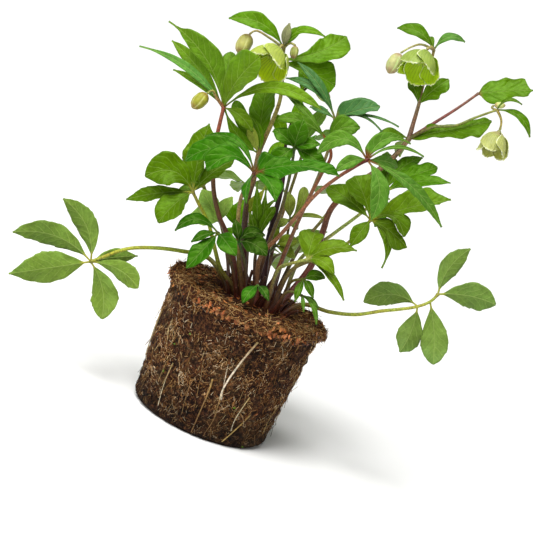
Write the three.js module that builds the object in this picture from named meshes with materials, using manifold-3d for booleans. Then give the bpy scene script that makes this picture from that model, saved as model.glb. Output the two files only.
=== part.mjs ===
// A young hellebore with its bare root ball, in millimetres, +Z up.
// The origin is the middle of the root ball's flat base.
import * as THREE from "three";
import Module from "manifold-3d";

// ---- driving dimensions -------------------------------------------------

const BALL_HEIGHT = 108;
const BALL_BASE_RADIUS = 56;
const BALL_NECK_RADIUS = 62.5; // just under the fibre mat
const MAT_RADIUS = 67;
const MAT_THICKNESS = 11;
const BALL_SIDES = 28;

const BLADE_THICKNESS = 0.8;
const EDGE_HALF_WIDTH = 0.35; // a blade's least half width, at its ends
const SOCKET_DEPTH = 8; // how far each stalk stands in the ball
const SOCKET_GAP = 1; // corner to corner, between a stalk and its hole
const COLLAR_HEIGHT = 5; // a stalk leaves the ball straight for this far
const SEAT_GAP = 0.3; // between a pedicel and its bloom or bud

// The plant is laid out on a sheet that leans with it: across and upward from
// the middle of the ball's top, and forward of the sheet. Distances across and
// upward shrink evenly towards SHEET_MIDDLE for places forward of the sheet, so
// that they would vanish at SHEET_EYE.
const SHEET_LEAN = THREE.MathUtils.degToRad(23.5);
const SHEET_PITCH = THREE.MathUtils.degToRad(11);
const SHEET_EYE = 1300;
const SHEET_MIDDLE = [13.2, 24.4];

// ---- finishes -----------------------------------------------------------

const finish = (color, roughness) =>
  new THREE.MeshStandardMaterial({ color, roughness, metalness: 0 });

const finishes = {
  green: finish("#4f8a35", 0.55),
  pale: finish("#8fae6d", 0.6),
  dark: finish("#2f6130", 0.5),
  blue: finish("#4d8a62", 0.55),
  stem: finish("#6d5138", 0.6),
  bloom: finish("#c9d97f", 0.6),
  bud: finish("#dbe0a2", 0.6),
  compost: finish("#3c2a1c", 0.95),
};

// ---- the leaning sheet --------------------------------------------------

const sheetUp = new THREE.Vector3(0, Math.sin(SHEET_PITCH), Math.cos(SHEET_PITCH));
const sheetFront = new THREE.Vector3(0, -Math.cos(SHEET_PITCH), Math.sin(SHEET_PITCH));
const acrossAxis = new THREE.Vector3(Math.cos(SHEET_LEAN), 0, 0).addScaledVector(
  sheetUp,
  Math.sin(SHEET_LEAN),
);
const upwardAxis = new THREE.Vector3(-Math.sin(SHEET_LEAN), 0, 0).addScaledVector(
  sheetUp,
  Math.cos(SHEET_LEAN),
);

// A direction on the sheet, in the part's own frame.
function heading([across, upward, forward]) {
  return new THREE.Vector3()
    .addScaledVector(acrossAxis, across)
    .addScaledVector(upwardAxis, upward)
    .addScaledVector(sheetFront, forward);
}

// A place on the sheet, in the part's own frame.
function place([across, upward, forward]) {
  const near = 1 - forward / SHEET_EYE;
  const seen = [
    SHEET_MIDDLE[0] + (across - SHEET_MIDDLE[0]) * near,
    SHEET_MIDDLE[1] + (upward - SHEET_MIDDLE[1]) * near,
    forward,
  ];
  return heading(seen).add(new THREE.Vector3(0, 0, BALL_HEIGHT));
}

// ---- solids -------------------------------------------------------------

const wasm = await Module();
wasm.setup();

function solid(points, faces) {
  const mesh = new wasm.Mesh({
    numProp: 3,
    vertProperties: new Float32Array(points.flatMap((p) => [p.x, p.y, p.z])),
    triVerts: new Uint32Array(faces.flat()),
  });
  const made = new wasm.Manifold(mesh);
  if (made.volume() > 0) return made;
  return solid(points, faces.map(([a, b, c]) => [a, c, b]));
}

const joined = (solids) => solids.reduce((all, one) => all.add(one));

// The largest of the bodies that a join or a cut leaves.
function largest(made) {
  return made.decompose().reduce((a, b) => (b.volume() > a.volume() ? b : a));
}

function named(name, made, material) {
  const { vertProperties, triVerts } = largest(made).getMesh();
  const geometry = new THREE.BufferGeometry()
    .setAttribute("position", new THREE.BufferAttribute(vertProperties, 3))
    .setIndex(new THREE.BufferAttribute(triVerts, 1));
  geometry.computeVertexNormals();
  const mesh = new THREE.Mesh(geometry, material);
  mesh.name = name;
  return mesh;
}

// A closed skin over rings that have equally many points.
function loft(rings) {
  const count = rings[0].length;
  const faces = [];
  for (let ring = 0; ring < rings.length - 1; ring++) {
    for (let i = 0; i < count; i++) {
      const a = ring * count + i;
      const b = ring * count + ((i + 1) % count);
      faces.push([a, b, b + count], [a, b + count, a + count]);
    }
  }
  const last = (rings.length - 1) * count;
  for (let i = 1; i < count - 1; i++) {
    faces.push([0, i + 1, i], [last, last + i, last + i + 1]);
  }
  return solid(rings.flat(), faces);
}

// A tapered round stalk that bends smoothly through the points.
function stalk(points, startRadius, endRadius, sides) {
  const path = new THREE.CatmullRomCurve3(points, false, "centripetal");
  const last = points.length - 1;
  const normal = new THREE.Vector3(0.31, 0.87, 0.38);
  const rings = points.map((centre, step) => {
    const tangent = path.getTangent(step / last);
    normal.addScaledVector(tangent, -normal.dot(tangent)).normalize();
    const side = new THREE.Vector3().crossVectors(tangent, normal);
    const radius = startRadius + ((endRadius - startRadius) * step) / last;
    return Array.from({ length: sides }, (_, i) => {
      const angle = (2 * Math.PI * i) / sides;
      return centre
        .clone()
        .addScaledVector(normal, radius * Math.cos(angle))
        .addScaledVector(side, radius * Math.sin(angle));
    });
  });
  return loft(rings);
}

// A small knot where stalks meet.
function knot(centre, radius) {
  const points = [
    [1, 0, 0],
    [0, 1, 0],
    [-1, 0, 0],
    [0, -1, 0],
    [0, 0, 1],
    [0, 0, -1],
  ].map((corner) => new THREE.Vector3(...corner).multiplyScalar(radius).add(centre));
  const faces = [0, 1, 2, 3].flatMap((i) => [
    [i, (i + 1) % 4, 4],
    [(i + 1) % 4, i, 5],
  ]);
  return solid(points, faces);
}

// A thin skin over a grid of stations along and columns across, the same
// triangles on both faces. point(along, across) gives the middle surface and
// its normal. pointed draws the first and the last station into one column.
function skin(stations, columns, point, { pointed = false } = {}) {
  const wide = columns.length;
  const last = stations.length - 1;
  const points = [];
  for (const sign of [1, -1]) {
    stations.forEach((along, row) => {
      const atEnd = pointed && (row === 0 || row === last);
      for (const across of columns) {
        const { at, normal } = point(along, atEnd ? 0 : across);
        points.push(at.clone().addScaledVector(normal, (sign * BLADE_THICKNESS) / 2));
      }
    });
  }
  const under = stations.length * wide;
  const corner = (row, column) => {
    const atEnd = pointed && (row === 0 || row === last);
    return row * wide + (atEnd ? 0 : column);
  };
  const faces = [];
  const triangle = (a, b, c) => {
    if (a !== b && b !== c && c !== a) faces.push([a, b, c]);
  };
  const quad = (a, b, c, d) => {
    triangle(a, b, c);
    triangle(a, c, d);
  };
  for (let row = 0; row < last; row++) {
    for (let column = 0; column < wide - 1; column++) {
      const [a, b] = [corner(row, column), corner(row, column + 1)];
      const [d, c] = [corner(row + 1, column), corner(row + 1, column + 1)];
      const [p, q, r, s] = column < (wide - 1) / 2 ? [d, a, b, c] : [a, b, c, d];
      quad(p, q, r, s);
      quad(under + s, under + r, under + q, under + p);
    }
    const [left, nextLeft] = [corner(row, 0), corner(row + 1, 0)];
    const [right, nextRight] = [corner(row, wide - 1), corner(row + 1, wide - 1)];
    quad(nextLeft, under + nextLeft, under + left, left);
    quad(right, under + right, under + nextRight, nextRight);
  }
  for (let column = 0; column < wide - 1; column++) {
    const [a, b] = [corner(0, column), corner(0, column + 1)];
    quad(a, under + a, under + b, b);
    const [c, d] = [corner(last, column), corner(last, column + 1)];
    quad(d, under + d, under + c, c);
  }
  return solid(points, faces);
}

// ---- leaflets -----------------------------------------------------------

// Stations along an even blade, and how far its edge stands out from the
// outline at each. A toothed blade has saw teeth over its outer half.
const toothedStations = [
  [0.3, 1],
  [0.57, 1.05],
  [0.63, 0.86],
  [0.82, 1.05],
];
const plainStations = [
  [0.25, 1],
  [0.52, 1],
  [0.8, 1],
];
const TOOTHED_FROM = 17; // blades at least this wide are toothed
const BROAD_FROM = 12; // blades at least this wide are folded at the rib
const BARE_BASE = 0.06; // share of the rib below the blade
const BLADE_WAVE = 0.08; // rise and fall of the edge, against the half width
const WAVE_RATE = 9; // radians of the wave along a blade
const WAVE_SHIFT = 2; // radians between the rib and an edge

// Half the blade's width at a place along the rib, as a share of the most. It
// is widest at peak and tapers towards both ends.
function outline(along, peak, taper) {
  const share = Math.max(along - BARE_BASE, 0) / (1 - BARE_BASE);
  const tipTaper = (taper * (1 - peak)) / peak;
  return (share / peak) ** taper * ((1 - share) / (1 - peak)) ** tipTaper;
}

// The edges of an even blade: each [along, left, right], in millimetres from
// the rib.
function evenEdges({ width, peak = 0.56, taper = 1.25 }, plain) {
  const stations = plain || width < TOOTHED_FROM ? plainStations : toothedStations;
  return stations.map(([along, reach]) => {
    const half = (width / 2) * outline(along, peak, taper) * reach;
    return [along, half, half];
  });
}

// A leaflet from its base to its tip. bow is how far the middle of the rib
// stands off the straight line, to the right as seen from the front, and arch
// how far towards the face. roll turns the face about the rib, in degrees. An
// uneven or lobed blade lists its own edges.
function leaflet(base, shape, face, plain) {
  const { tip, bow = 0, arch = 4, roll = 0, fold = 0.22 } = shape;
  const { edges = evenEdges(shape, plain) } = shape;
  const end = place(tip);
  const line = end.clone().sub(base);
  const forward = line.clone().normalize();
  const flat = face.clone().addScaledVector(forward, -face.dot(forward)).normalize();
  flat.applyAxisAngle(forward, THREE.MathUtils.degToRad(roll));
  const rightward = new THREE.Vector3().crossVectors(forward, sheetFront).normalize();
  const control = base
    .clone()
    .addScaledVector(line, 0.5)
    .addScaledVector(rightward, 2 * bow)
    .addScaledVector(flat, 2 * arch);
  const rib = new THREE.QuadraticBezierCurve3(base, control, end);
  const widest = Math.max(...edges.map(([, left, right]) => left + right));
  const columns = widest < BROAD_FROM ? [-1, 1] : [-1, 0, 1];
  const stations = [[0, 0, 0], ...edges, [1, 0, 0]];
  const halves = new Map(stations.map(([along, left, right]) => [along, { left, right }]));
  const point = (along, across) => {
    const tangent = rib.getTangent(along);
    const normal = flat.clone().addScaledVector(tangent, -flat.dot(tangent)).normalize();
    const side = new THREE.Vector3().crossVectors(tangent, normal);
    const { left, right } = halves.get(along);
    const half = Math.max(across < 0 ? left : right, EDGE_HALF_WIDTH);
    const wave = BLADE_WAVE * Math.sin(WAVE_RATE * along + WAVE_SHIFT * across);
    const lift = Math.abs(across) * half * (fold + wave);
    const at = rib
      .getPoint(along)
      .addScaledVector(side, across * half)
      .addScaledVector(normal, lift);
    return { at, normal };
  };
  return skin([...halves.keys()], columns, point, { pointed: true });
}

// Leaflets that grow from a hub, or from their own place further back.
function leaflets(hub, list, face, plain = false) {
  const facing = heading(face);
  return list.map((one) => leaflet(one.from ? place(one.from) : hub, one, facing, plain));
}

// ---- leaves -------------------------------------------------------------

const STALK_SIDES = 5;
const BRANCH_SIDES = 4;
const LEAST_RISE = 1.2; // a stalk's rise at the ball, against its run
const HUB_SWELL = 1.5; // a hub's radius, against that of its stalk's end
const sockets = [];

// The stalk's path from its hole in the ball, whose middle is root [x, y].
function stalkPath(root, via) {
  const [x, y] = root;
  const top = new THREE.Vector3(x, y, BALL_HEIGHT);
  const lean = place(via[0]).sub(top).normalize();
  lean.z = Math.max(lean.z, LEAST_RISE);
  lean.normalize();
  return [
    top.clone().addScaledVector(lean, -SOCKET_DEPTH),
    top.clone().addScaledVector(lean, COLLAR_HEIGHT),
    ...via.map(place),
  ];
}

// A stalk that stands in the ball. Its hole joins the sockets.
function rooted(root, via, [footRadius, endRadius]) {
  const path = stalkPath(root, via);
  const [foot, collar] = path;
  const bottom = foot.clone().sub(collar).setLength(SOCKET_GAP).add(foot);
  const holeRadius = footRadius + SOCKET_GAP;
  sockets.push(stalk([bottom, collar.clone()], holeRadius, holeRadius, STALK_SIDES));
  return stalk(path, footRadius, endRadius, STALK_SIDES);
}

// Each place is [across, upward, forward] on the sheet. via ends at the hub.
// The blades of a plain leaf have no teeth.
const leaves = {
  leaf_far_left: {
    root: [-20, -8],
    via: [
      [-33, 31, 2],
      [-56, 37, 6],
      [-81, 39.5, 8],
      [-99, 38.4, 10],
      [-119, 31.5, 11],
      [-127.4, 28.3, 12],
    ],
    radii: [2, 1.2],
    face: [0.1, 0.3, -1],
    finish: "pale",
    leaflets: [
      { tip: [-149.6, 78.8, 6], width: 18.5, bow: 7 },
      { tip: [-189.9, 51.8, 12], width: 20, bow: 8 },
      { tip: [-193.1, 18.6, 18], width: 26, bow: -1, peak: 0.5 },
      { tip: [-118.7, -17.6, 22], width: 22, bow: -4, peak: 0.6 },
      { tip: [-89.6, 7.2, 20], width: 17, bow: -4, peak: 0.64 },
      { tip: [-89.8, 32.8, -2], width: 14, peak: 0.5 },
    ],
  },
  leaf_left: {
    root: [-13, -12],
    via: [
      [-23.4, 21.9, 12],
      [-28.5, 40.2, 15],
      [-33.6, 60, 18],
      [-40.8, 73.9, 20],
      [-45.8, 84.2, 22],
    ],
    radii: [2, 1.2],
    face: [-0.3, 0.5, 1],
    finish: "green",
    leaflets: [
      { tip: [-84, 96.4, 28], width: 28, bow: 9, peak: 0.6 },
      { tip: [-99, 78, 14], width: 13 },
      { tip: [-73.4, 59.2, 38], width: 23, peak: 0.6 },
      {
        tip: [-32.6, 138.7, 22],
        edges: [
          [0.14, 2.5, 1.5],
          [0.3, 9.5, 4.5],
          [0.48, 12.6, 6.5],
          [0.64, 12, 8.5],
          [0.82, 8, 8],
        ],
      },
      { tip: [-13, 110, 12], width: 15, peak: 0.6 },
    ],
  },
  leaf_centre: {
    root: [-6, -17],
    via: [[-9.6, 38.4, 25], [-9.6, 59.2, 36], [-7, 80, 45], [3.4, 98.8, 52]],
    radii: [2.2, 1.3],
    face: [0, 0.6, 1],
    finish: "green",
    leaflets: [
      {
        tip: [-34.5, 101, 62],
        bow: 10,
        edges: [
          [0.2, 3, 2.6],
          [0.45, 4.5, 7],
          [0.72, 5.2, 10.8],
          [0.88, 4.2, 9.6],
        ],
      },
      { tip: [-52, 109, 46], width: 20, bow: 12, peak: 0.62 },
      { tip: [-36, 128.8, 34], width: 7, bow: 10 },
      {
        tip: [71.5, 96.5, 62],
        bow: -3.5,
        arch: 6,
        edges: [
          [0.14, 2, 6],
          [0.34, 2.4, 12],
          [0.55, 5, 6.5],
          [0.72, 6.8, 3],
          [0.88, 6.5, 2],
        ],
      },
      {
        tip: [20.3, 76, 70],
        bow: -4,
        edges: [
          [0.2, 4, 4],
          [0.44, 8, 5],
          [0.7, 9, 4],
          [0.86, 4.5, 2.4],
        ],
      },
      {
        tip: [38, 104.5, 50],
        edges: [
          [0.18, 11.5, 2],
          [0.3, 13, 3],
          [0.52, 9.3, 4],
          [0.76, 7.2, 3],
        ],
      },
      { tip: [-2.6, 75, 66], width: 8, roll: 40 },
    ],
  },
  leaf_right_middle: {
    root: [6, -16],
    via: [
      [8, 31.2, 14],
      [23.2, 48.4, 24],
      [38.4, 65.6, 33],
      [52.8, 82.1, 40],
      [71.2, 96.4, 45],
      [93.6, 109.6, 48],
    ],
    radii: [2, 1.3],
    face: [0.2, 0.4, 1],
    finish: "green",
    leaflets: [
      { tip: [96.8, 61.6, 62], width: 15, bow: -7 },
      { tip: [153.2, 55.7, 54], width: 10, bow: -6 },
      { tip: [139, 112, 48], width: 3.4, bow: -7 },
      {
        tip: [128.5, 122.5, 36],
        bow: -9,
        edges: [
          [0.15, 6, 2],
          [0.35, 6.5, 5.5],
          [0.6, 4.5, 4],
          [0.82, 1.6, 1.6],
        ],
      },
      { tip: [53.9, 114.7, 48], width: 13, bow: 12, peak: 0.6 },
      { tip: [68, 100, 60], width: 10, bow: 2 },
      { tip: [118, 104, 30], width: 11 },
    ],
  },
  leaf_upper_right: {
    root: [12, -6],
    via: [
      [30.4, 41.6, 8],
      [41.4, 66.8, 16],
      [48.8, 82.4, 22],
      [57, 98, 27],
      [64.8, 113, 30],
      [61.6, 124.8, 31],
    ],
    radii: [1.8, 1.2],
    face: [0, 0.5, 1],
    finish: "green",
    leaflets: [
      { tip: [88, 135, 36], width: 20, bow: -3 },
      { tip: [29.6, 161, 16], width: 6, bow: 1 },
      { tip: [22.7, 143, 36], width: 10, bow: 4, peak: 0.72 },
    ],
  },
  leaf_rosette: {
    root: [2, -7],
    via: [[14, 40, 8], [25, 70, 14], [32, 98, 22], [35.6, 119.2, 32]],
    radii: [1.8, 1.1],
    face: [0, 0.4, 1],
    finish: "dark",
    leaflets: [
      { tip: [43, 142, 44], width: 17 },
      { tip: [17, 104, 40], width: 16 },
      { tip: [56, 122, 42], width: 11 },
      { tip: [60, 104, 40], width: 15 },
      { tip: [19, 134, 32], width: 13 },
    ],
  },
  leaf_right_behind: {
    root: [26, 8],
    via: [[40, 30, -14], [66, 50, -14], [90, 68, -12], [108, 84, -10]],
    radii: [1.8, 1.2],
    face: [0.2, 0.6, 0.8],
    finish: "green",
    leaflets: [
      { tip: [138, 111.2, -26], width: 13, bow: -4 },
      {
        tip: [150, 103.5, -14],
        edges: [
          [0.35, 5, 4],
          [0.6, 8, 6],
          [0.82, 7.5, 6],
          [0.94, 4.5, 4],
        ],
      },
      { tip: [160.5, 91, 0], width: 13, bow: -2, taper: 1.6 },
      { tip: [110, 116, -34], width: 16 },
      { tip: [100, 56, 0], width: 14 },
    ],
  },
  leaf_right: {
    root: [19, -10],
    via: [[34, 22, 6], [63.5, 34, 14], [80.4, 45, 20], [96.6, 61.6, 24]],
    radii: [1.9, 1.2],
    face: [0.1, 0.6, 1],
    finish: "green",
    leaflets: [
      {
        tip: [160.8, 77.6, 30],
        edges: [
          [0.2, 6, 1.5],
          [0.44, 12.5, 5],
          [0.65, 13.5, 7.2],
          [0.79, 12, 3],
          [0.86, 7.5, 2],
        ],
      },
      {
        tip: [123.3, 48, 34],
        bow: -8,
        edges: [
          [0.3, 2, 2],
          [0.55, 5, 3.5],
          [0.75, 9.5, 4],
          [0.9, 6, 3],
        ],
      },
      {
        tip: [125.5, 39.5, 30],
        edges: [
          [0.22, 7, 2],
          [0.42, 7.5, 2.5],
          [0.56, 5.5, 7.5],
          [0.72, 3.5, 13],
          [0.9, 2, 8],
        ],
      },
      { tip: [105.3, 23, 32], width: 8, bow: -8, peak: 0.4 },
      {
        tip: [84, 97, 20],
        edges: [
          [0.28, 2, 3],
          [0.45, 7.5, 6],
          [0.7, 10.8, 10],
          [0.88, 11, 11.5],
        ],
      },
      { tip: [62, 88, 8], width: 20, peak: 0.64 },
      { tip: [80.5, 40.5, 34], width: 13 },
    ],
  },
  leaf_blue: {
    root: [14, 6],
    via: [[34, 50, -16], [52, 90, -10], [64, 122, 0], [68, 142.4, 6]],
    radii: [1.8, 1.2],
    face: [0, 0.4, 1],
    finish: "blue",
    leaflets: [
      {
        tip: [104, 152.4, 12],
        edges: [
          [0.15, 7.5, 1.2],
          [0.3, 10, 1.5],
          [0.56, 9.6, 5],
          [0.78, 8.2, 4],
          [0.92, 3.5, 4.2],
        ],
      },
      { tip: [29, 175, 1], width: 8, bow: 7 },
      { tip: [38, 188, 3], width: 8, bow: 3 },
      { tip: [84, 133, 10], width: 11 },
      { tip: [105.5, 132, 12], width: 2.4, bow: -6 },
      { tip: [119, 136, 10], width: 2.6, bow: -4 },
      { tip: [48, 152, 2], width: 6 },
    ],
  },
  leaf_low_right: {
    root: [15, -21],
    via: [[23, 22.4, 30], [34.4, 27.2, 42], [45.9, 30, 50]],
    radii: [1.6, 1.1],
    face: [0, 0.6, 0.8],
    finish: "green",
    leaflets: [
      {
        tip: [52, 51.5, 38],
        arch: 3,
        edges: [
          [0.25, 6, 4],
          [0.55, 10.5, 6],
          [0.8, 11.5, 8],
          [0.93, 9, 7],
        ],
      },
      { tip: [85.5, 37, 52], width: 15, bow: -3, peak: 0.5 },
      { tip: [67.2, 18.4, 62], width: 12, bow: -2 },
      { tip: [75, -2.9, 58], width: 6.6, bow: -3 },
    ],
  },
  leaf_small_right: {
    root: [24, -16],
    via: [[33, 12, 30], [43, 14, 38]],
    radii: [1.4, 1],
    face: [0, 0.6, 0.8],
    finish: "dark",
    leaflets: [
      { tip: [60, 15, 44], width: 11 },
      { tip: [50.4, -1, 50], width: 7 },
      { tip: [36, -4, 52], width: 6 },
    ],
  },
  leaf_thread: {
    root: [21, -24],
    via: [[30, 4, 34], [41.4, 1, 42]],
    radii: [1.2, 0.9],
    face: [0, 0.6, 0.8],
    finish: "dark",
    leaflets: [
      { tip: [43, -12, 52], width: 3.2 },
      { tip: [55, -9, 48], width: 3.6 },
      { tip: [53, -22, 52], width: 4.4, bow: -3 },
    ],
  },
  leaf_front_base: {
    root: [3, -28],
    via: [[4, 4, 32], [6, 9, 38]],
    radii: [1.4, 1],
    face: [0, 0.6, 0.8],
    finish: "green",
    leaflets: [
      { tip: [-6, -5, 50], width: 10 },
      { tip: [15, -3, 50], width: 7 },
    ],
  },
  leaf_far_right: {
    root: [30, -9],
    via: [
      [43, -6, 6],
      [64, -12, 12],
      [84.7, -14, 14],
      [105.4, -11.2, 15],
      [120, -9.8, 16],
      [134, -7.6, 16],
      [144, -3.8, 16],
      [150.4, 2.1, 16],
    ],
    radii: [1.8, 1.1],
    face: [0.1, 0.3, -1],
    finish: "pale",
    leaflets: [
      { tip: [176.4, 38.6, 10], width: 16, bow: -4 },
      { tip: [196.6, -6.2, 18], width: 22, bow: -2, peak: 0.6 },
      { from: [144, -3.8, 16], tip: [146.3, -53.9, 28], width: 22, bow: -2, peak: 0.6 },
      { from: [134, -7.6, 16], tip: [119.9, -44, 26], width: 20, bow: -3, peak: 0.56 },
      { from: [134, -7.6, 16], tip: [91, -4.2, 4], width: 20, bow: 7, peak: 0.6 },
    ],
  },
  leaf_low_left: {
    root: [-10, -21],
    via: [[-16, 30, 30], [-25.6, 51.2, 36]],
    radii: [1.6, 1.1],
    face: [-0.2, 0.5, 1],
    finish: "dark",
    leaflets: [
      { tip: [-51, 23, 50], width: 16, bow: -2 },
      { tip: [-11, 33, 54], width: 15 },
      { tip: [-60, 53, 36], width: 10, bow: 8 },
      { tip: [-47, 44, 42], width: 8 },
    ],
  },
  leaf_pale_left: {
    root: [-20, 4],
    via: [[-18, 30, -12], [-22, 52, -8], [-24, 60, -5]],
    radii: [1.5, 1],
    face: [-0.3, 0.4, 1],
    finish: "pale",
    leaflets: [
      { tip: [-48, 66, 0], width: 17 },
      { tip: [-38, 86, -10], width: 16 },
      { tip: [-14, 80, -4], width: 12 },
    ],
  },
  leaf_centre_dark: {
    root: [-3, -22],
    via: [[-4, 26, 33], [-7, 38, 38], [-9, 44, 40]],
    radii: [1.6, 1.1],
    face: [0, 0.5, 1],
    finish: "dark",
    leaflets: [
      { tip: [13.5, 33, 52], width: 17, bow: -2 },
      { tip: [12, 49, 44], width: 10, bow: -3 },
      { tip: [-12, 62, 44], width: 8 },
    ],
  },
  leaf_inner: {
    root: [3, -1],
    via: [[4, 30, -2], [5, 37, -1], [6, 43, 0]],
    radii: [1.7, 1.1],
    face: [0, 0.2, 1],
    finish: "dark",
    leaflets: [
      { tip: [5.5, 92, 3], width: 8, peak: 0.45 },
      { tip: [13, 88, 2], width: 8, bow: 1, peak: 0.4 },
      { tip: [20, 72, 5], width: 8, bow: -2, peak: 0.7 },
      { tip: [22, 79, 1], width: 4.5, bow: -6 },
      { tip: [0, 68, 6], width: 6 },
    ],
  },
  leaf_between: {
    root: [17, 12],
    via: [[27, 34, -26], [31, 56, -28], [32, 62, -28]],
    radii: [1.5, 1],
    face: [0, 0.3, 1],
    finish: "green",
    plain: true,
    leaflets: [
      { tip: [31, 84, -28], width: 10 },
      { tip: [43, 88, -30], width: 9, bow: 4, peak: 0.7 },
      { tip: [60, 62.5, -24], width: 4, bow: -2 },
      { tip: [38, 54, -24], width: 7 },
      { tip: [22, 56, -26], width: 7 },
    ],
  },
  leaf_low_behind: {
    root: [0, 9],
    via: [[10, 28, -20], [20, 41, -26]],
    radii: [1.5, 1],
    face: [0, 0.4, 1],
    finish: "dark",
    plain: true,
    leaflets: [
      { tip: [38, 45, -28], width: 12 },
      { tip: [36, 31, -28], width: 9 },
      { tip: [4, 40, -28], width: 10 },
      { tip: [18, 58, -32], width: 10 },
    ],
  },
  leaf_left_inner: {
    root: [-2, 15],
    via: [[-8, 34, -27], [-11, 50, -28], [-12, 56, -28]],
    radii: [1.5, 1],
    face: [0, 0.3, 1],
    finish: "green",
    plain: true,
    leaflets: [
      { tip: [-19, 77, -28], width: 10 },
      { tip: [-5, 78, -30], width: 12 },
      { tip: [-1, 58, -28], width: 8 },
      { tip: [-20, 47, -26], width: 7 },
    ],
  },
  leaf_left_behind: {
    root: [-15, 10],
    via: [[-14, 40, -22], [-26, 66, -18], [-37, 88, -14]],
    radii: [1.6, 1.1],
    face: [-0.3, 0.5, 1],
    finish: "dark",
    leaflets: [
      { tip: [-58, 98, -20], width: 14 },
      { tip: [-22, 106, -20], width: 15 },
      { tip: [-44, 114, -34], width: 13 },
      { tip: [-60, 80, -8], width: 10 },
    ],
  },
  leaf_back_low: {
    root: [4, 26],
    via: [[18, 30, -50], [24, 34, -70], [26, 34, -84]],
    radii: [1.7, 1.2],
    face: [0, 0.8, -0.6],
    finish: "green",
    plain: true,
    leaflets: [
      { tip: [-10, 44, -112], width: 18 },
      { tip: [22, 20, -134], width: 20 },
      { tip: [58, 36, -116], width: 18 },
      { tip: [62, 52, -82], width: 15 },
    ],
  },
  leaf_back_left: {
    root: [-8, 22],
    via: [[-2, 40, -46], [0, 70, -64], [-2, 90, -72]],
    radii: [1.8, 1.2],
    face: [-0.2, 0.8, -0.6],
    finish: "green",
    plain: true,
    leaflets: [
      { tip: [-34, 96, -94], width: 17 },
      { tip: [-10, 84, -122], width: 19 },
      { tip: [28, 84, -110], width: 17 },
      { tip: [26, 112, -78], width: 15 },
    ],
  },
  leaf_back_right: {
    root: [18, 20],
    via: [[40, 40, -48], [58, 62, -60], [68, 76, -66]],
    radii: [1.8, 1.2],
    face: [0.2, 0.8, -0.6],
    finish: "green",
    plain: true,
    leaflets: [
      { tip: [52, 84, -106], width: 17 },
      { tip: [84, 72, -116], width: 19 },
      { tip: [112, 78, -86], width: 17 },
      { tip: [98, 94, -58], width: 15 },
    ],
  },
  leaf_back_high: {
    root: [8, 16],
    via: [[24, 60, -42], [36, 96, -46], [44, 122, -48]],
    radii: [1.8, 1.2],
    face: [0, 0.8, -0.5],
    finish: "green",
    plain: true,
    leaflets: [
      { tip: [18, 132, -76], width: 16 },
      { tip: [46, 124, -100], width: 18 },
      { tip: [76, 128, -76], width: 16 },
      { tip: [62, 150, -44], width: 14 },
    ],
  },
};

function leaf(name, shape) {
  const hub = place(shape.via.at(-1));
  const pieces = [
    rooted(shape.root, shape.via, shape.radii),
    knot(hub, shape.radii[1] * HUB_SWELL),
    ...leaflets(hub, shape.leaflets, shape.face, shape.plain),
  ];
  return named(name, joined(pieces), finishes[shape.finish]);
}

// ---- flowering stems ----------------------------------------------------

const NODE_RADIUS = 2.2; // the swelling where bracts grow

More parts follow.
